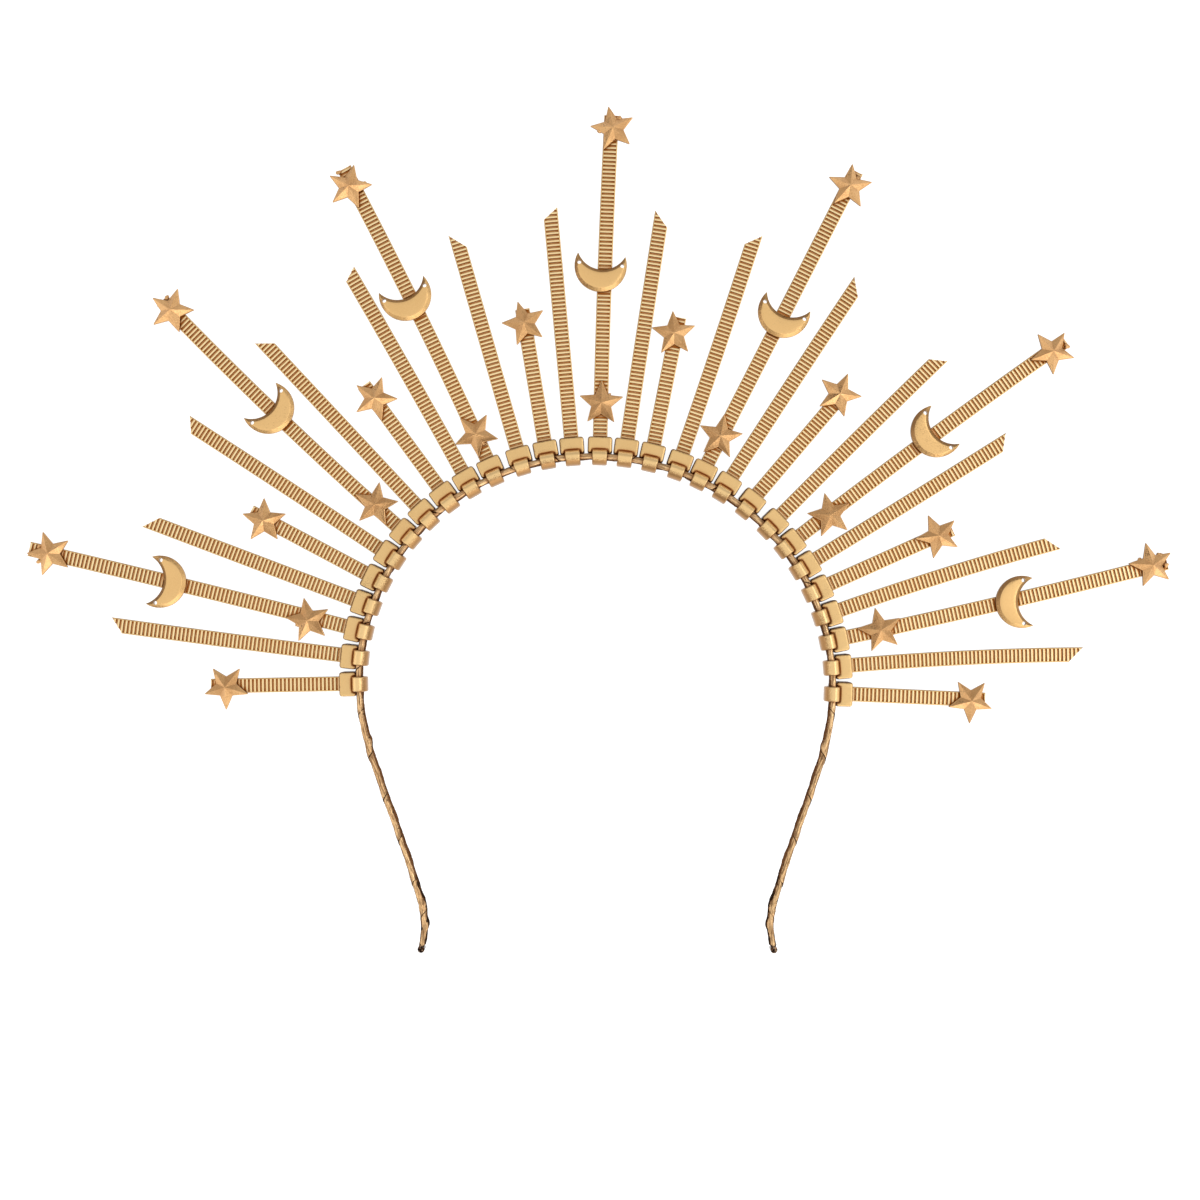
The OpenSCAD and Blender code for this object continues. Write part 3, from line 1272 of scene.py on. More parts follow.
@dataclass(frozen=True)
class TieHead:
    """The box-shaped head of a tie.

    start: how far it begins from the band's middle. corner, front_edge, back_edge: its
    roundings. valley_depth, valley_half, valley_soft: the depth of the valley in its front, half
    its width, and how softly its sides rise. valley_floor, valley_end: where its floor stops and
    its end slope does. valley_lead, valley_bed, valley_steps: where extra points follow it.
    valley_reach: how far below the front it moves points. slot_margin, slot_depth: the slot
    round the strap.
    """

    start: float = 0.8
    length: float = 5.1
    width: float = 7.3
    depth: float = 7.5
    corner: float = 0.8
    front_edge: float = 0.6
    back_edge: float = 0.4
    valley_depth: float = 0.4
    valley_half: float = 2.5
    valley_soft: float = 0.4
    valley_floor: float = 1.7
    valley_end: float = 2.7
    valley_lead: float = 0.8
    valley_bed: float = 1.4
    valley_steps: int = 5
    valley_reach: float = 0.65
    slot_margin: float = 0.25
    slot_depth: float = 0.7

    @property
    def middle(self) -> float:
        """The distance from the band's middle to the head's middle."""
        return self.start + self.length / 2

    @property
    def end(self) -> float:
        """The distance from the band's middle to the head's outer face."""
        return self.start + self.length

    def scoop(self, co: Vector) -> float:
        """Works out how far the front dips in the valley before the loop.

        Args:
            co: the point.

        Returns:
            The depth there.
        """
        low, high = self.valley_half - self.valley_soft, self.valley_half + self.valley_soft
        along = 1 - smooth_step(co.x, self.valley_floor, self.valley_end)
        return self.valley_depth * (1 - smooth_step(abs(co.y), low, high)) * along

    def build(self, strap: StrapSection) -> Mesh:
        """Builds the head with its valley and the slot that its strap leaves by.

        Args:
            strap: the strap, for the slot's size.

        Returns:
            The head's mesh, with X away from the band.
        """
        half = self.width / 2
        bm = block((self.start, -half, 0), (self.end, half, self.depth))
        round_off(bm, filter(Axis.Z.follows, bm.edges), self.corner, FINE_STEPS)
        round_off(bm, edges_at(bm, lambda co: co.z > self.depth - CLOSE), self.front_edge, FINE_STEPS)
        round_off(bm, edges_at(bm, lambda co: co.z < CLOSE), self.back_edge, FEW_STEPS)
        self.cut_slot(bm, strap)
        across = [-self.valley_bed, *(self.valley_soft * i / 2 for i in range(-2, 3))]
        score(bm, Axis.Y, [side * (self.valley_half + step) for side in (-1, 1) for step in across])
        slope = (self.valley_end - self.valley_floor) / self.valley_steps
        down = [self.valley_floor + i * slope for i in range(self.valley_steps + 1)]
        score(bm, Axis.X, [self.start + self.valley_lead, *down])
        for v in bm.verts:
            if v.co.z > self.depth - self.valley_reach:
                v.co.z -= self.scoop(v.co)
        return into_mesh(bm, "tie_head")

    def cut_slot(self, bm: BMesh, strap: StrapSection) -> None:
        """Sinks the slot round the strap into the outer face.

        Args:
            bm: the head's mesh.
            strap: the strap.
        """
        half = strap.width / 2 + self.slot_margin
        low = strap.top - strap.thick - self.slot_margin
        high = strap.top + self.slot_margin
        score(bm, Axis.Y, [-half, half])
        score(bm, Axis.Z, [low, high])
        faces = []
        for face in bm.faces:
            co = face.calc_center_median()
            if co.x > self.end - CLOSE and abs(co.y) < half and low < co.z < high:
                faces.append(face)
        grown = bmesh.ops.extrude_face_region(bm, geom=faces)["geom"]
        bmesh.ops.translate(bm, verts=new_verts(grown), vec=(-self.slot_depth, 0, 0))
        bmesh.ops.delete(bm, geom=[f for f in faces if f.is_valid], context="FACES_ONLY")


@dataclass(frozen=True)
class TieLoop:
    """The strap's loop: out of the head's front, over the band, down and back into the head.

    edge: the rounding of its edges. lean: how far it leans from upright where it leaves the
    head. crest_x, crest_z: its topmost point. root_r, root_length: the bend up to the crest,
    and the straight stretch before it. front_r, front_turn, side_r, side_turn: the two bends
    after it. back_z: its height behind the band. into_head: where it ends. arc_step: the degrees
    between its sections, of which a bend has at least arc_least.
    """

    width: float = 4.45
    thick: float = 1.2
    edge: float = 0.45
    lean: float = 15.0
    crest_x: float = 0.2
    crest_z: float = 9.6
    root_r: float = 0.9
    root_length: float = 2.6
    front_r: float = 2.2
    front_turn: float = 82.0
    side_r: float = 9.0
    side_turn: float = 26.0
    back_z: float = 2.15
    into_head: float = 3.0
    arc_step: float = 10.0
    arc_least: int = 2

    def build(self) -> Mesh:
        """Spins the strap's section round the band.

        Returns:
            The loop's mesh, with X away from the band.
        """
        bm = bmesh.new()
        heading = 90 + self.lean
        aside = self.root_r * toward(self.lean)
        spot = Vector((self.crest_x + aside.x, 0, self.crest_z - self.root_r + aside.y))
        rise = Vector((toward(heading).x, 0, toward(heading).y)) * self.root_length
        tilt = Matrix.Rotation(math.radians(-self.lean), 4, "Y")
        place = Matrix.Translation(spot - rise) @ tilt @ Matrix.Diagonal((self.thick, self.width, 1, 1))
        bmesh.ops.create_grid(bm, x_segments=1, y_segments=1, size=0.5, matrix=place)
        round_off(bm, bm.verts, self.edge, FINE_STEPS, Rounded.CORNERS)
        bmesh.ops.delete(bm, geom=list(bm.faces), context="FACES_ONLY")
        ring = self.draw(bm, list(bm.edges), rise)
        radii = (self.root_r, self.front_r, self.side_r)
        for radius, turn in zip(radii, (90 - self.lean, self.front_turn, self.side_turn)):
            ring, spot, heading = self.spin(bm, ring, spot, heading, radius, turn)
        # The last bend brings the strap level again, at the height where it enters the head
        last_r = (spot.z - self.back_z) / (1 + math.sin(math.radians(heading - 90)))
        ring, spot, heading = self.spin(bm, ring, spot, heading, last_r, 360 - heading)
        self.draw(bm, ring, Vector((self.into_head - spot.x, 0, 0)))
        close_ends(bm)
        for face in bm.faces:
            face.material_index = LOOP_FACES
        return into_mesh(bm, "tie_loop")

    @staticmethod
    def draw(bm: BMesh, ring: Ring, step: Vector) -> Ring:
        """Draws a ring of edges straight out.

        Args:
            bm: the mesh.
            ring: the edges to draw out.
            step: how far, and where to.

        Returns:
            The new ring.
        """
        grown = bmesh.ops.extrude_edge_only(bm, edges=ring)["geom"]
        bmesh.ops.translate(bm, verts=new_verts(grown), vec=step)
        return new_edges(grown)

    def spin(
        self, bm: BMesh, ring: Ring, spot: Vector, heading: float, radius: float, turn: float
    ) -> tuple[Ring, Vector, float]:
        """Spins a ring of edges round one bend.

        Args:
            bm: the mesh.
            ring: the edges to spin.
            spot: the middle of the strap there.
            heading: its direction in the X and Z plane, in degrees from +X towards +Z.
            radius: the bend's radius.
            turn: how far it turns, in degrees.

        Returns:
            The new ring, the strap's middle there and its heading.
        """
        left = toward(heading + 90)
        centre = spot + radius * Vector((left.x, 0, left.y))
        steps = max(self.arc_least, round(turn / self.arc_step))
        made = bmesh.ops.spin(
            bm, geom=ring, cent=centre, axis=(0, -1, 0), angle=math.radians(turn), steps=steps
        )["geom_last"]
        away = toward(heading + turn - 90)
        return new_edges(made), centre + radius * Vector((away.x, 0, away.y)), heading + turn


@dataclass
class CableTie:
    """One cable tie: a head, the loop round the band and the toothed strap.

    sunk: how far the strap reaches into the head. first_tooth: how far out of the head the
    first tooth is. bend_step: the length of a bent strap's stretches.
    """

    arch: Arch
    head: TieHead = field(default_factory=TieHead)
    loop: TieLoop = field(default_factory=TieLoop)
    strap: StrapSection = field(default_factory=StrapSection)
    sunk: float = 0.8
    first_tooth: float = 0.35
    bend_step: float = 5.0
    head_mesh: Optional[Mesh] = None
    loop_mesh: Optional[Mesh] = None

    def prepare(self) -> None:
        """Builds the head and the loop that every tie shares."""
        self.head_mesh = self.head.build(self.strap)
        self.loop_mesh = self.loop.build()

    def length(self, row: TieRow) -> float:
        """The strap's length from the middle of the head."""
        return self.past_head(row, row.reach)

    def past_head(self, row: TieRow, radius: float) -> float:
        """The distance from the middle of the head to a radius on the tie."""
        return radius - self.arch.radius(row.at) - self.head.middle

    def along(self, row: TieRow, distance: float, side: float) -> Vector:
        """Finds a point on a tie's strap, in the tie's own frame.

        Args:
            row: the tie.
            distance: how far from the middle of the head.
            side: how far left of the strap's middle.

        Returns:
            The point, flat.
        """
        turn = row.bend * distance / self.length(row)
        start = Vector((self.head.middle, 0, 0))
        return arc_point(start, row.lean, distance, turn) + side * toward(row.lean + turn + 90)

    def place(self, row: TieRow) -> Matrix:
        """The matrix from a tie's own frame to the crown's, in millimetres."""
        turn = Matrix.Rotation(math.radians(self.arch.normal(row.at)), 4, "Z")
        return Matrix.Translation(self.arch.point(row.at)) @ turn

    def on_strap(self, ornament: OrnamentRow) -> Vector:
        """Finds where an ornament sits on its tie.

        Args:
            ornament: its row of the chart.

        Returns:
            The point, flat, in millimetres.
        """
        row = TIES[ornament.tie - 1]
        spot = self.along(row, self.past_head(row, ornament.radius), ornament.left)
        return self.place(row) @ spot

    def cut(self, bm: BMesh, row: TieRow) -> None:
        """Snips the strap's end, slanting if the chart says so.

        Args:
            bm: the strap's mesh.
            row: the tie.
        """
        left = self.length(row) + min(row.cut, 0)
        right = self.length(row) - max(row.cut, 0)
        normal = Vector((self.strap.width, right - left, 0)).normalized()
        slice_at(bm, Vector(((left + right) / 2, 0, 0)), normal, snip=True)
        close_ends(bm)

    def tail(self, row: TieRow) -> BMesh:
        """Builds a tie's strap, cut and bent as in the chart.

        Args:
            row: the tie.

        Returns:
            The strap's mesh, in the tie's own frame.
        """
        spare = self.strap.pitch
        start, end = self.head.length / 2 - self.sunk, self.length(row)
        bm = self.strap.strap(start, end + spare)
        self.strap.add_teeth(bm, self.head.length / 2 + self.first_tooth, end + spare / 2)
        self.cut(bm, row)
        if row.bend:
            score_evenly(bm, start, end, self.bend_step)
        for v in bm.verts:
            flat = self.along(row, v.co.x, v.co.y)
            v.co = (flat.x, flat.y, v.co.z)
        return bm

    def build(
        self, number: int, row: TieRow, finishes: Sequence[Material], publisher: Publisher
    ) -> None:
        """Builds and publishes one tie.

        Args:
            number: the tie's number.
            row: its row in the chart.
            finishes: the materials of its body, its teeth and its loop.
            publisher: what makes it a piece.
        """
        bm = self.tail(row)
        bm.from_mesh(self.head_mesh)
        bm.from_mesh(self.loop_mesh)
        name = f"tie_{number:02d}"
        publisher.publish(bm, f"cable_{name}", finishes, [name], self.place(row))


@dataclass(frozen=True)
class FacetedStar:
    """A flat-backed star with facets that rise to a peak, two for each point.

    tip, notch: the radii of its points and of the corners between them. rim, rise: its
    thickness at the rim and at the peak. tip_round, rim_round: its roundings. sharp: the angle
    past which its edges are creases.
    """

    points: int = 5
    tip: float = 7.05
    notch: float = 3.2
    rim: float = 0.7
    rise: float = 2.7
    tip_round: float = 0.42
    rim_round: float = 0.22
    sharp: float = 12.0

    def template(self) -> Mesh:
        """Builds the star lying flat with one point along +Y.

        Returns:
            The star's mesh.
        """
        bm = bmesh.new()
        count = 2 * self.points
        ring = bmesh.ops.create_circle(bm, cap_ends=True, radius=1.0, segments=count)["verts"]
        for i, v in enumerate(ring):
            v.co = (self.notch if i % 2 else self.tip) * toward(90 + 360 * i / count)
        grown = bmesh.ops.extrude_face_region(bm, geom=list(bm.faces))["geom"]
        bmesh.ops.translate(bm, verts=new_verts(grown), vec=(0, 0, self.rim))
        tips = edges_at(bm, lambda co: co.to_2d().length > self.tip - CLOSE)
        round_off(bm, tips, self.tip_round, FEW_STEPS)
        bmesh.ops.recalc_face_normals(bm, faces=bm.faces)
        front = max(bm.faces, key=lambda face: face.calc_center_median().z)
        bmesh.ops.poke(bm, faces=[front])["verts"][0].co = (0, 0, self.rise)
        round_off(bm, edges_at(bm, lambda co: abs(co.z - self.rim) < CLOSE), self.rim_round, FEW_STEPS)
        return into_mesh(bm, "faceted_star")


@dataclass(frozen=True)
class PiercedMoon:
    """A flat-backed crescent with a bevelled, slightly domed front and a hole near each horn.

    outer, hollow, offset: the radii of its two edges, and how far apart their middles are.
    bevel: the width and height of the bevel round its front. bevel_row: where the first row of
    points lies, in bevels. dome, dome_run: how far the front rises, and over how far. crease,
    edge_round: the edges rounded off, by their angle, and how far. horn_trim: how much of each
    half is kept. hole_r, hole_lead, hole_side, hole_sides: the holes. columns, rows: its grid.
    weld: how near points are joined. sharp: the angle past which its edges are creases.
    """

    outer: float = 7.85
    hollow: float = 7.8
    offset: float = 6.6
    thick: float = 2.0
    bevel: float = 1.0
    bevel_row: float = 1.02
    dome: float = 0.03
    dome_run: float = 1.5
    crease: float = 28.0
    edge_round: float = 0.12
    horn_trim: float = 0.985
    hole_r: float = 0.6
    hole_lead: float = 0.3
    hole_side: float = 6.45
    hole_sides: int = 16
    columns: int = 72
    rows: int = 8
    weld: float = 0.01
    sharp: float = 24.0

    @property
    def horn(self) -> Vector:
        """Where the two edges meet, on the left of the middle line."""
        x = self.offset / 2 + (self.outer**2 - self.hollow**2) / (2 * self.offset)
        return Vector((x, math.sqrt(self.outer**2 - x * x), 0))

    def edges(self, part: float) -> tuple[Vector, Vector]:
        """Finds a station's two edge points.

        Args:
            part: where along the moon, from -1 at one horn to 1 at the other.

        Returns:
            The points on the outer and the hollow edge.
        """
        half = math.degrees(math.atan2(self.horn.y, self.horn.x))
        inner_half = math.degrees(math.atan2(self.horn.y, self.horn.x - self.offset))
        outer = self.outer * toward(180 + part * (180 - half))
        inner = Vector((self.offset, 0, 0)) + self.hollow * toward(180 + part * (180 - inner_half))
        return outer, inner

    def depths(self, co: Vector) -> tuple[float, float]:
        """How far inside the outer edge and the hollow edge a point lies."""
        from_hollow = (co - Vector((self.offset, 0, 0))).to_2d().length - self.hollow
        return self.outer - co.to_2d().length, from_hollow

    def height(self, co: Vector) -> float:
        """Works out the height of the front.

        Args:
            co: the point.

        Returns:
            The height there.
        """
        near = max(min(self.depths(co)), 0.0)
        inside = smooth_step(near, self.bevel, self.bevel + self.dome_run)
        return self.thick - self.bevel + min(near, self.bevel) + self.dome * inside

    def spread(self, across: float, width: float) -> float:
        """Moves a row of the grid, so that the first two rows at each edge frame its bevel.

        Args:
            across: how far across the crescent the row is, from 0 to 1.
            width: the crescent's width there.

        Returns:
            How far across it goes.
        """
        row = round(across * self.rows)
        margin = min(self.bevel * self.bevel_row / width, 0.5)
        if row <= 1:
            return margin * row
        if row >= self.rows - 1:
            return 1 - margin * (self.rows - row)
        return margin + (1 - 2 * margin) * (row - 1) / (self.rows - 2)

    def front(self) -> BMesh:
        """Draws the front as a grid along and across the crescent.

        Returns:
            Its mesh.
        """
        bm = bmesh.new()
        bmesh.ops.create_grid(bm, x_segments=self.columns, y_segments=self.rows, size=1.0)
        for v in bm.verts:
            outer, inner = self.edges(v.co.x * self.horn_trim)
            spot = outer.lerp(inner, self.spread((v.co.y + 1) / 2, (outer - inner).length))
            v.co = (spot.x, spot.y, 0)
            v.co.z = self.height(v.co)
        return bm

    def template(self) -> Mesh:
        """Builds the moon lying flat with its hollow along +X.

        Returns:
            The moon's mesh.
        """
        bm = self.front()
        rim = [e for e in bm.edges if e.is_boundary]
        for v in new_verts(bmesh.ops.extrude_edge_only(bm, edges=rim)["geom"]):
            v.co.z = 0.0
        close_ends(bm)
        bmesh.ops.remove_doubles(bm, verts=bm.verts, dist=self.weld)
        bmesh.ops.recalc_face_normals(bm, faces=bm.faces)
        limit = math.radians(self.crease)
        creases = [e for e in bm.edges if e.is_manifold and e.calc_face_angle() > limit]
        raised = [e for e in creases if max(v.co.z for v in e.verts) > CLOSE]
        round_off(bm, raised, self.edge_round, FEW_STEPS)
        return self.pierce(into_mesh(bm, "whole_moon"))

    def pierce(self, mesh: Mesh) -> Mesh:
        """Cuts the two sewing holes.

        Args:
            mesh: the moon without them.

        Returns:
            The pierced mesh.
        """
        body = bpy.data.objects.new("whole_moon", mesh)
        drill = bmesh.new()
        for side in (-1, 1):
            middle = Vector((self.hole_lead, side * self.hole_side, self.thick / 2))
            post(drill, middle, self.hole_r, 3 * self.thick, self.hole_sides)
        tool = bpy.data.objects.new("drill", into_mesh(drill, "drill"))
        for item in (body, tool):
            bpy.context.scene.collection.objects.link(item)
        cut = body.modifiers.new("holes", "BOOLEAN")
        cut.operation, cut.solver, cut.object = "DIFFERENCE", "EXACT", tool
        seen = body.evaluated_get(bpy.context.evaluated_depsgraph_get())
        pierced = bpy.data.meshes.new_from_object(seen)
        for item in (body, tool):
            bpy.data.objects.remove(item)
        # Faces along the hollow get the darker gold of painted shade
        for face in pierced.polygons:
            face.material_index = HOLLOW_FACES if self.in_hollow(face.center) else 0
        return pierced

    def in_hollow(self, co: Vector) -> bool:
        """Whether a point lies on the bevel or the wall along the hollow."""
        from_outer, from_hollow = self.depths(co)
        return from_hollow < min(self.bevel, from_outer)


@dataclass(frozen=True)
class Glue:
    """The hot glue that shows round the ornaments.

    narrow, flat, lift: a dab's width, its height and how high its middle lies, in radii.
    lumpy, lump_scale: how uneven it is, and how finely. lowest: how near the back it comes.
    halvings: how often a dab's faces are divided.
    """

    narrow: float = 0.8
    flat: float = 0.5
    lift: float = 0.3
    lumpy: float = 0.5
    lump_scale: float = 1.6
    lowest: float = 0.02
    halvings: int = 3

    def add(self, bm: BMesh, row: OrnamentRow) -> None:
        """Adds an ornament's dabs to it.

        Args:
            bm: the ornament's mesh, lying flat and not yet turned.
            row: its row of the chart.
        """
        unturned = Matrix.Rotation(math.radians(-row.turn), 4, "Z")
        for dab in row.dabs:
            spot = unturned @ Vector((dab.right, dab.up, dab.size * self.lift))
            shape = Matrix.Diagonal((dab.size, dab.size * self.narrow, dab.size * self.flat, 1))
            made = bmesh.ops.create_icosphere(
                bm, subdivisions=self.halvings, radius=1.0, matrix=Matrix.Translation(spot) @ shape
            )
            for v in made["verts"]:
                v.co = spot + (v.co - spot) * (1 + self.lumpy * noise.noise(v.co * self.lump_scale))
                v.co.z = max(v.co.z, self.lowest)


@dataclass(frozen=True)
class Look:
    """What one kind of ornament is made from."""

    template: Mesh
    finishes: Sequence[Material]
    slot: Slot
    sharp: float


@dataclass
class Ornaments:
    """The stars and moons, set on their ties' straps."""

    ties: CableTie
    star: FacetedStar = field(default_factory=FacetedStar)
    moon: PiercedMoon = field(default_factory=PiercedMoon)
    glue: Glue = field(default_factory=Glue)

    def seat(self, row: OrnamentRow) -> Matrix:
        """The matrix that sets an ornament on its strap."""
        spot = self.ties.on_strap(row) + Vector((0, 0, ORNAMENT_Z))
        return Matrix.Translation(spot) @ Matrix.Rotation(math.radians(row.turn), 4, "Z")

    def set_one(self, kind: Kind, row: OrnamentRow, look: Look, publisher: Publisher) -> None:
        """Sets one ornament on its tie.

        Args:
            kind: its kind.
            row: its row of the chart.
            look: what it is made from.
            publisher: what makes it a piece.
        """
        bm = bmesh.new()
        bm.from_mesh(look.template)
        self.glue.add(bm, row)
        node = f"{kind.value}_{row.tie:02d}"
        publisher.publish(bm, f"gold_{node}", look.finishes, [node], self.seat(row), look.sharp)

    def build(self, publisher: Publisher) -> None:
        """Builds every star and moon.

        Args:
            publisher: what makes them pieces.
        """
        star = Look(self.star.template(), [STAR_GOLD.build()], Slot.STAR, self.star.sharp)
        moon_finishes = [MOON_GOLD.build(), SHADED_HOLLOW_GOLD.build()]
        moon = Look(self.moon.template(), moon_finishes, Slot.MOON, self.moon.sharp)
        for kind, rows in ORNAMENTS.items():
            for row in rows:
                self.set_one(kind, row, moon if kind is Kind.MOON else star, publisher)


@dataclass(frozen=True)
class SpringBand:
    """The flat metal band under the ribbon, rolled into a bead at each end.

    edge, roll_edge: the roundings of the strip and of the rolls. bead_r: the bead's radius.
    past: how far its middle lies beyond the ribbon. curl_r, curl_up, curl_width: the roll's
    inner turn, and how far up the leg it lies. step: the length of the bent strip's stretches.
    """

    route: Route
    width: float = 4.4
    thick: float = 0.9
    edge: float = 0.12
    bead_r: float = 1.05
    past: float = 1.25
    curl_r: float = 0.84
    curl_up: float = 1.1
    curl_width: float = 5.1
    roll_edge: float = 0.25
    roll_sides: int = 28
    step: float = 2.0

    def add_roll(self, bm: BMesh, distance: float, radius: float, width: float) -> None:
        """Adds one turn of the rolled end.

        Args:
            bm: the band's mesh.
            distance: where its middle lies along the route.
            radius: its radius.
            width: its width, from back to front.
        """
        middle = self.route.at(distance) + Vector((0, 0, BAND_Z))
        made = post(bm, middle, radius, width, self.roll_sides)
        rims = {e for v in made for e in v.link_edges if not Axis.Z.follows(e)}
        round_off(bm, rims, self.roll_edge, EVEN_STEPS)

    def build(self, finish: Material, publisher: Publisher) -> Object:
        """Bends a straight strip along the route and rolls its ends.

        Args:
            finish: its material.
            publisher: what makes it a piece.

        Returns:
            The piece.
        """
        low, high = -self.past, self.route.length + self.past
        bm = block((low, -self.thick / 2, -self.width / 2), (high, self.thick / 2, self.width / 2))
        round_off(bm, filter(Axis.X.follows, bm.edges), self.edge, FEW_STEPS)
        score_evenly(bm, low, high, self.step)
        for v in bm.verts:
            flat = self.route.at(v.co.x) + v.co.y * self.route.outward(v.co.x)
            v.co = (flat.x, flat.y, BAND_Z + v.co.z)
        for end, up in ((low, self.curl_up), (high, -self.curl_up)):
            self.add_roll(bm, end, self.bead_r, self.width)
            self.add_roll(bm, end + up, self.curl_r, self.curl_width)
        return publisher.publish(bm, "spring_band", [finish], ["headband"])


@dataclass(frozen=True)
class Pucker:
    """A place where the ribbon stands off the band's inner side.

    side: the leg. from_end: how far from the leg's end. length, height: its half length, and
    how far it stands off.
    """

    side: Side
    from_end: float
    length: float
    height: float


@dataclass
class RibbonWrap:
    """Ribbon wound round the band from each end to the middle, each turn lapping the last.

    pitch: how far along the band one turn brings it. wrap_w, wrap_t, corner: the section that
    it is wound round. lap_rise, lap: how far it stands off where it laps, and between which
    shares of the lap that falls off. seam_from_end: where the first seam crosses the front.
    first_turn_long: how much longer the first turn is. spare_turns: the part of a turn that is
    laid out past each end, to be cut off. ruffle, bulge: the height of the fine creases and of
    the wide bulges. ruffle_long, bulge_long: their length. ruffle_round, bulge_round: how fine
    they are outward and upward. ruffle_more, bulge_less: what is added to their noise, or taken
    from it. bulge_apart, halves_apart: what keeps them unlike each other, and one half unlike
    the other. sharp: the angle past which an edge is a crease.
    """

    route: Route
    width: float = 10.8
    pitch: float = 13.2
    thick: float = 0.15
    wrap_w: float = 4.95
    wrap_t: float = 1.26
    corner: float = 0.5
    lap_rise: float = 0.17
    lap: tuple[float, float] = (0.75, 1.5)
    seam_from_end: float = 6.3
    first_turn_long: float = 3.0
    spare_turns: float = 0.5
    ruffle: float = 0.12
    ruffle_long: float = 1.3
    ruffle_round: tuple[float, float] = (1.1, 0.8)
    ruffle_more: float = 0.4
    bulge: float = 0.28
    bulge_long: float = 5.5
    bulge_round: tuple[float, float] = (0.5, 0.35)
    bulge_less: float = 0.2
    bulge_apart: float = 40.0
    halves_apart: float = 12.0
    sharp: float = 60.0
    puckers: tuple[Pucker, ...] = (
        Pucker(Side.LEFT, 63.3, 2.6, 0.4),
        Pucker(Side.LEFT, 12.1, 3.6, 0.4),
        Pucker(Side.LEFT, 6.0, 2.4, 0.5),
        Pucker(Side.RIGHT, 61.6, 2.6, 0.4),
        Pucker(Side.RIGHT, 12.1, 3.6, 0.4),
        Pucker(Side.RIGHT, 6.0, 2.4, 0.5),
    )
    steps_per_turn: int = 44
    steps_across: int = 14

    @property
    def round_it(self) -> float:
        """The distance once round the wrapped band."""
        straight = 2 * (self.wrap_w + self.wrap_t) - 8 * self.corner
        return straight + 2 * math.pi * self.corner

    @property
    def turn_length(self) -> float:
        """The ribbon's length in one turn."""
        return math.hypot(self.round_it, self.pitch)

    @property
    def turns(self) -> float:
        """The number of turns in each half."""
        return self.route.length / 2 / self.pitch

    @property
    def flat_length(self) -> float:
        """The whole ribbon's length before it was wound."""
        return 2 * self.turns * self.turn_length

    def advance(self, turn: float, across: float) -> float:
        """Works out how far along the band a point of the ribbon comes.

        Args:
            turn: how many turns from the end.
            across: how far from the ribbon's middle line.

        Returns:
            The distance, with its first turn made longer.
        """
        along = self.pitch * turn + across * self.round_it / self.turn_length
        longer = smooth_step(along, 0, self.seam_from_end)
        longer -= smooth_step(along, self.seam_from_end, self.seam_from_end + self.pitch)
        return along + self.first_turn_long * longer

    def beyond(self, turn: float, across: float) -> bool:
        """Whether a point of the ribbon would lie past its half of the band."""
        return not 0 <= self.advance(turn, across) <= self.route.length / 2

    def section(self, distance: float) -> tuple[Vector, Vector]:
        """Follows the section's outline from the middle of the front, outer side first.

        Args:
            distance: how far round it.

        Returns:
            The point and the outward normal there, as (outward, height).
        """
        flat_n = self.wrap_t / 2 - self.corner
        flat_z = self.wrap_w / 2 - self.corner
        bend = math.pi * self.corner / 2
        left = distance % self.round_it
        spot, heading = Vector((0.0, self.wrap_w / 2)), 0.0
        walk = ((flat_n, bend), (2 * flat_z, bend), (2 * flat_n, bend), (2 * flat_z, bend), (flat_n, 0.0))
        for straight, arc in walk:
            ahead = toward(heading).to_2d()
            if left <= straight:
                return spot + ahead * left, toward(heading + 90).to_2d()
            spot, left = spot + ahead * straight, left - straight
            if left <= arc:
                turn = -math.degrees(left / self.corner)
                centre = spot - toward(heading + 90).to_2d() * self.corner
                normal = toward(heading + 90 + turn).to_2d()
                return centre + normal * self.corner, normal
            centre = spot - toward(heading + 90).to_2d() * self.corner
            heading -= 90
            spot, left = centre + toward(heading + 90).to_2d() * self.corner, left - arc
        return spot, Vector((0.0, 1.0))

    def rise(self, across: float) -> float:
        """How far the ribbon stands off where it laps the turn before it."""
        lap = self.width - self.pitch * self.round_it / self.turn_length
        return self.lap_rise * (1 - smooth_step(across + self.width / 2, *(lap * end for end in self.lap)))

    def crease(self, along: float, outward: float, up: float) -> float:
        """Works out how far the ribbon stands off in creases and bulges.

        Args:
            along: how far along the band.
            outward: how far from its middle line, away from the arch.
            up: how far above its middle line.

        Returns:
            The distance.
        """
        fine_out, fine_up = self.ruffle_round
        wide_out, wide_up = self.bulge_round
        fine = noise.noise(Vector((along / self.ruffle_long, outward * fine_out, up * fine_up)))
        stretch = along / self.bulge_long + self.bulge_apart
        wide = noise.noise(Vector((stretch, outward * wide_out, up * wide_up)))
        return self.ruffle * (fine + self.ruffle_more) + self.bulge * max(wide - self.bulge_less, 0.0)

    def pucker(self, side: Side, from_end: float, outward: float) -> float:
        """How far the puckers push the ribbon off the band's inner side.

        Args:
            side: which half.
            from_end: how far from the leg's end.
            outward: the outward part of the section's normal there.

        Returns:
            The distance.
        """
        total = 0.0
        for one in (pucker for pucker in self.puckers if pucker.side is side):
            near = 1 - smooth_step(abs(from_end - one.from_end), 0.0, one.length)
            total += one.height * near * max(-outward, 0.0)
        return total

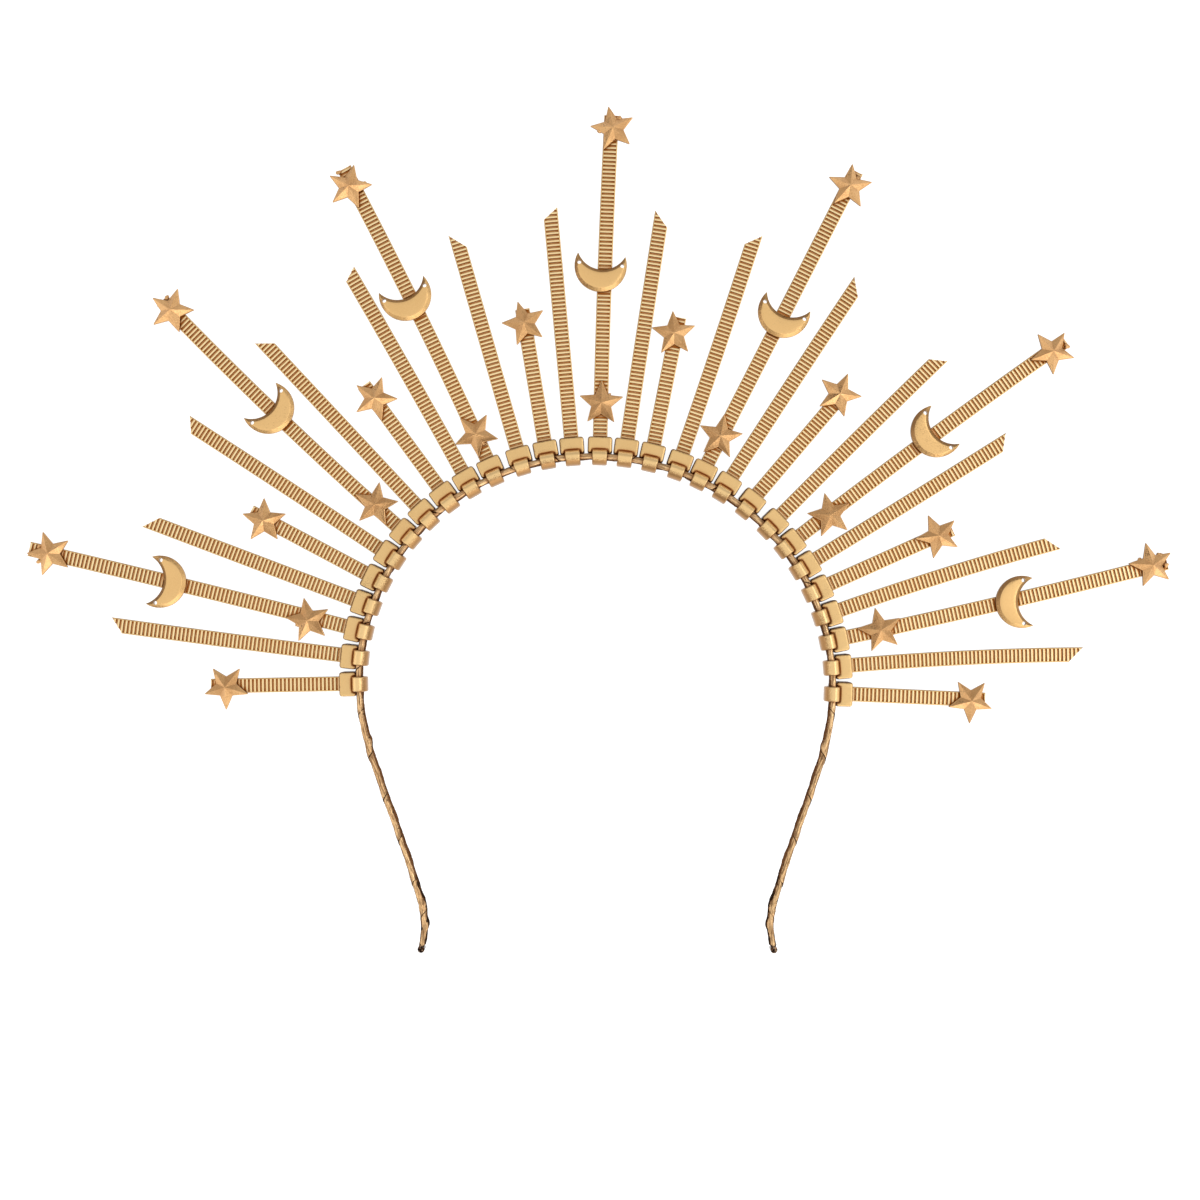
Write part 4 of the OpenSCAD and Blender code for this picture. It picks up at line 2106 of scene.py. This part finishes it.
    def wound(self, turn: float, across: float, side: Side) -> Vector:
        """Winds a point of the flat ribbon onto the band.

        Args:
            turn: how many turns from the end.
            across: how far from the ribbon's middle line, in millimetres.
            side: which half.

        Returns:
            The point, in the crown's frame.
        """
        along = self.advance(turn, across)
        lead = self.seam_from_end + self.width / 2 * self.turn_length / self.round_it
        round_it = self.round_it * (turn - lead / self.pitch) - across * self.pitch / self.turn_length
        along = min(max(along, 0.0), self.route.length / 2)
        spot, normal = self.section(-round_it)
        distance = along if side is Side.RIGHT else self.route.length - along
        off = self.rise(across) + self.pucker(side, along, normal.x)
        off += self.crease(distance, spot.x, spot.y + side.value * self.halves_apart)
        flat = self.route.at(distance) + self.route.outward(distance) * (spot.x + normal.x * off)
        return Vector((flat.x, flat.y, BAND_Z + spot.y + normal.y * off))

    def build(self, finish: Material, publisher: Publisher) -> Object:
        """Builds the ribbon, in two halves of one piece.

        Args:
            finish: its material.
            publisher: what makes it a piece.

        Returns:
            The piece.
        """
        bm = bmesh.new()
        weave = bm.loops.layers.uv.new("weave")
        lie = bm.loops.layers.uv.new("lie")
        turns = self.turns + 2 * self.spare_turns
        steps = round(turns * self.steps_per_turn)
        pitch_part, round_part = self.pitch / self.turn_length, self.round_it / self.turn_length
        for side in Side:
            made = bmesh.ops.create_grid(bm, x_segments=steps, y_segments=self.steps_across, size=1.0)
            grid = made["verts"]
            for v in grid:
                v.co = ((v.co.x + 1) / 2 * turns - self.spare_turns, v.co.y * self.width / 2, 0)
            past = {v for v in grid if self.beyond(v.co.x, v.co.y)}
            for loop in [loop for v in grid for loop in v.link_loops]:
                u, w = loop.vert.co.x * self.turn_length, loop.vert.co.y
                loop[weave].uv = (u, w)
                loop[lie].uv = (u * pitch_part + w * round_part, u * round_part - w * pitch_part)
            for v in grid:
                v.co = self.wound(v.co.x, v.co.y, side)
            cut_off = {f for v in past for f in v.link_faces if past.issuperset(f.verts)}
            bmesh.ops.delete(bm, geom=list(cut_off), context="FACES")
        piece = publisher.publish(
            bm, "wound_ribbon", [finish], ["ribbon_wrap"], sharp=self.sharp
        )
        wall = piece.modifiers.new("ribbon_thickness", "SOLIDIFY")
        wall.thickness, wall.offset = self.thick * MM, -1.0
        self.flat_length * MM
        return piece


@dataclass(frozen=True)
class Lamp:
    """One soft light panel: where it hangs, its size, its strength and what it points at."""

    name: str
    place: tuple[float, float, float]
    size: float
    power: float
    colour: Colour = (1.0, 1.0, 1.0)
    target: tuple[float, float, float] = (0.0, 0.06, 0.0)

    def hang(self) -> None:
        """Makes the light."""
        data = bpy.data.lights.new(self.name, "AREA")
        data.shape, data.size = "SQUARE", self.size
        data.energy, data.color = self.power, self.colour
        lamp = bpy.data.objects.new(self.name, data)
        lamp.location = self.place
        lamp.rotation_mode = "QUATERNION"
        lamp.rotation_quaternion = (Vector(self.target) - Vector(self.place)).to_track_quat("-Z", "Y")
        lamp.visible_camera = False
        bpy.context.scene.collection.objects.link(lamp)


@dataclass(frozen=True)
class Studio:
    """The pale floor, the soft lights and the camera straight above.

    eye: the camera's place, in millimetres. sight_z, sight_span: the height at which its view
    is measured, and the width of what it sees there.
    """

    eye: tuple[float, float, float] = (0.84, 28.0, 550.0)
    sight_z: float = 3.0
    sight_span: float = 360.0
    clip: tuple[float, float] = (0.01, 20.0)
    floor_size: float = 3.0
    sky: Colour = (0.60, 0.60, 0.60)
    lamps: tuple[Lamp, ...] = (
        Lamp("front_panel", (-0.3, -0.45, 1.3), 2.4, 6.5),
        Lamp("main_panel", (1.8, 0.25, 2.4), 1.35, 13.0),
        Lamp("low_panel", (0.75, -1.5, 0.5), 1.8, 14.8, (1.0, 0.98, 0.95)),
        Lamp("left_panel", (-1.4, -0.25, 0.55), 1.2, 2.9),
        Lamp("right_panel", (1.7, 0.0, 0.5), 1.0, 1.7),
    )

    def set_up(self) -> None:
        """Lays the floor, hangs the lights and sets the camera."""
        scene = bpy.context.scene
        bm = bmesh.new()
        bmesh.ops.create_grid(bm, x_segments=1, y_segments=1, size=self.floor_size / 2)
        floor = bpy.data.objects.new("floor", into_mesh(bm, "floor"))
        floor.data.materials.append(PaleFloor().build())
        scene.collection.objects.link(floor)
        for lamp in self.lamps:
            lamp.hang()
        self.light_room()
        self.set_camera()
        scene.view_settings.view_transform = "Standard"

    def light_room(self) -> None:
        """Gives the room its dim even light."""
        world = bpy.data.worlds.new("studio_room")
        world.use_nodes = True
        nodes = Nodes(world.node_tree)
        glow = nodes.add("ShaderNodeBackground", {"Color": rgba(self.sky), "Strength": 1.0})
        nodes.add("ShaderNodeOutputWorld", {"Surface": glow.outputs["Background"]})
        bpy.context.scene.world = world

    def set_camera(self) -> None:
        """Hangs the camera over the crown, looking straight down."""
        data = bpy.data.cameras.new("camera")
        data.angle = 2 * math.atan(self.sight_span / 2 / (self.eye[2] - self.sight_z))
        data.clip_start, data.clip_end = self.clip
        camera = bpy.data.objects.new("camera", data)
        camera.location = Vector(self.eye) * MM
        bpy.context.scene.collection.objects.link(camera)
        bpy.context.scene.camera = camera


def main() -> None:
    """Builds the crown in order and reports each piece."""
    logging.basicConfig(level=logging.INFO, format="%(name)s: %(message)s")
    arch = Arch()
    publisher = Publisher()
    Studio().set_up()
    route = Route(arch, RIGHT_LEG, LEFT_LEG)
    SpringBand(route).build(BAND_STEEL.build(), publisher)
    RibbonWrap(route).build(RIBBON_GOLD.build(), publisher)
    ties = CableTie(arch)
    ties.prepare()
    tie_finishes = [TIE_GOLD.build(), HIGHLIT_TOOTH_GOLD.build(), HIGHLIT_LOOP_GOLD.build()]
    for number, row in enumerate(TIES, start=1):
        ties.build(number, row, tie_finishes, publisher)
    Ornaments(ties).build(publisher)
    LOG.info("%d pieces, %d faces", publisher.pieces, publisher.faces)


if __name__ == "__main__":
    main()
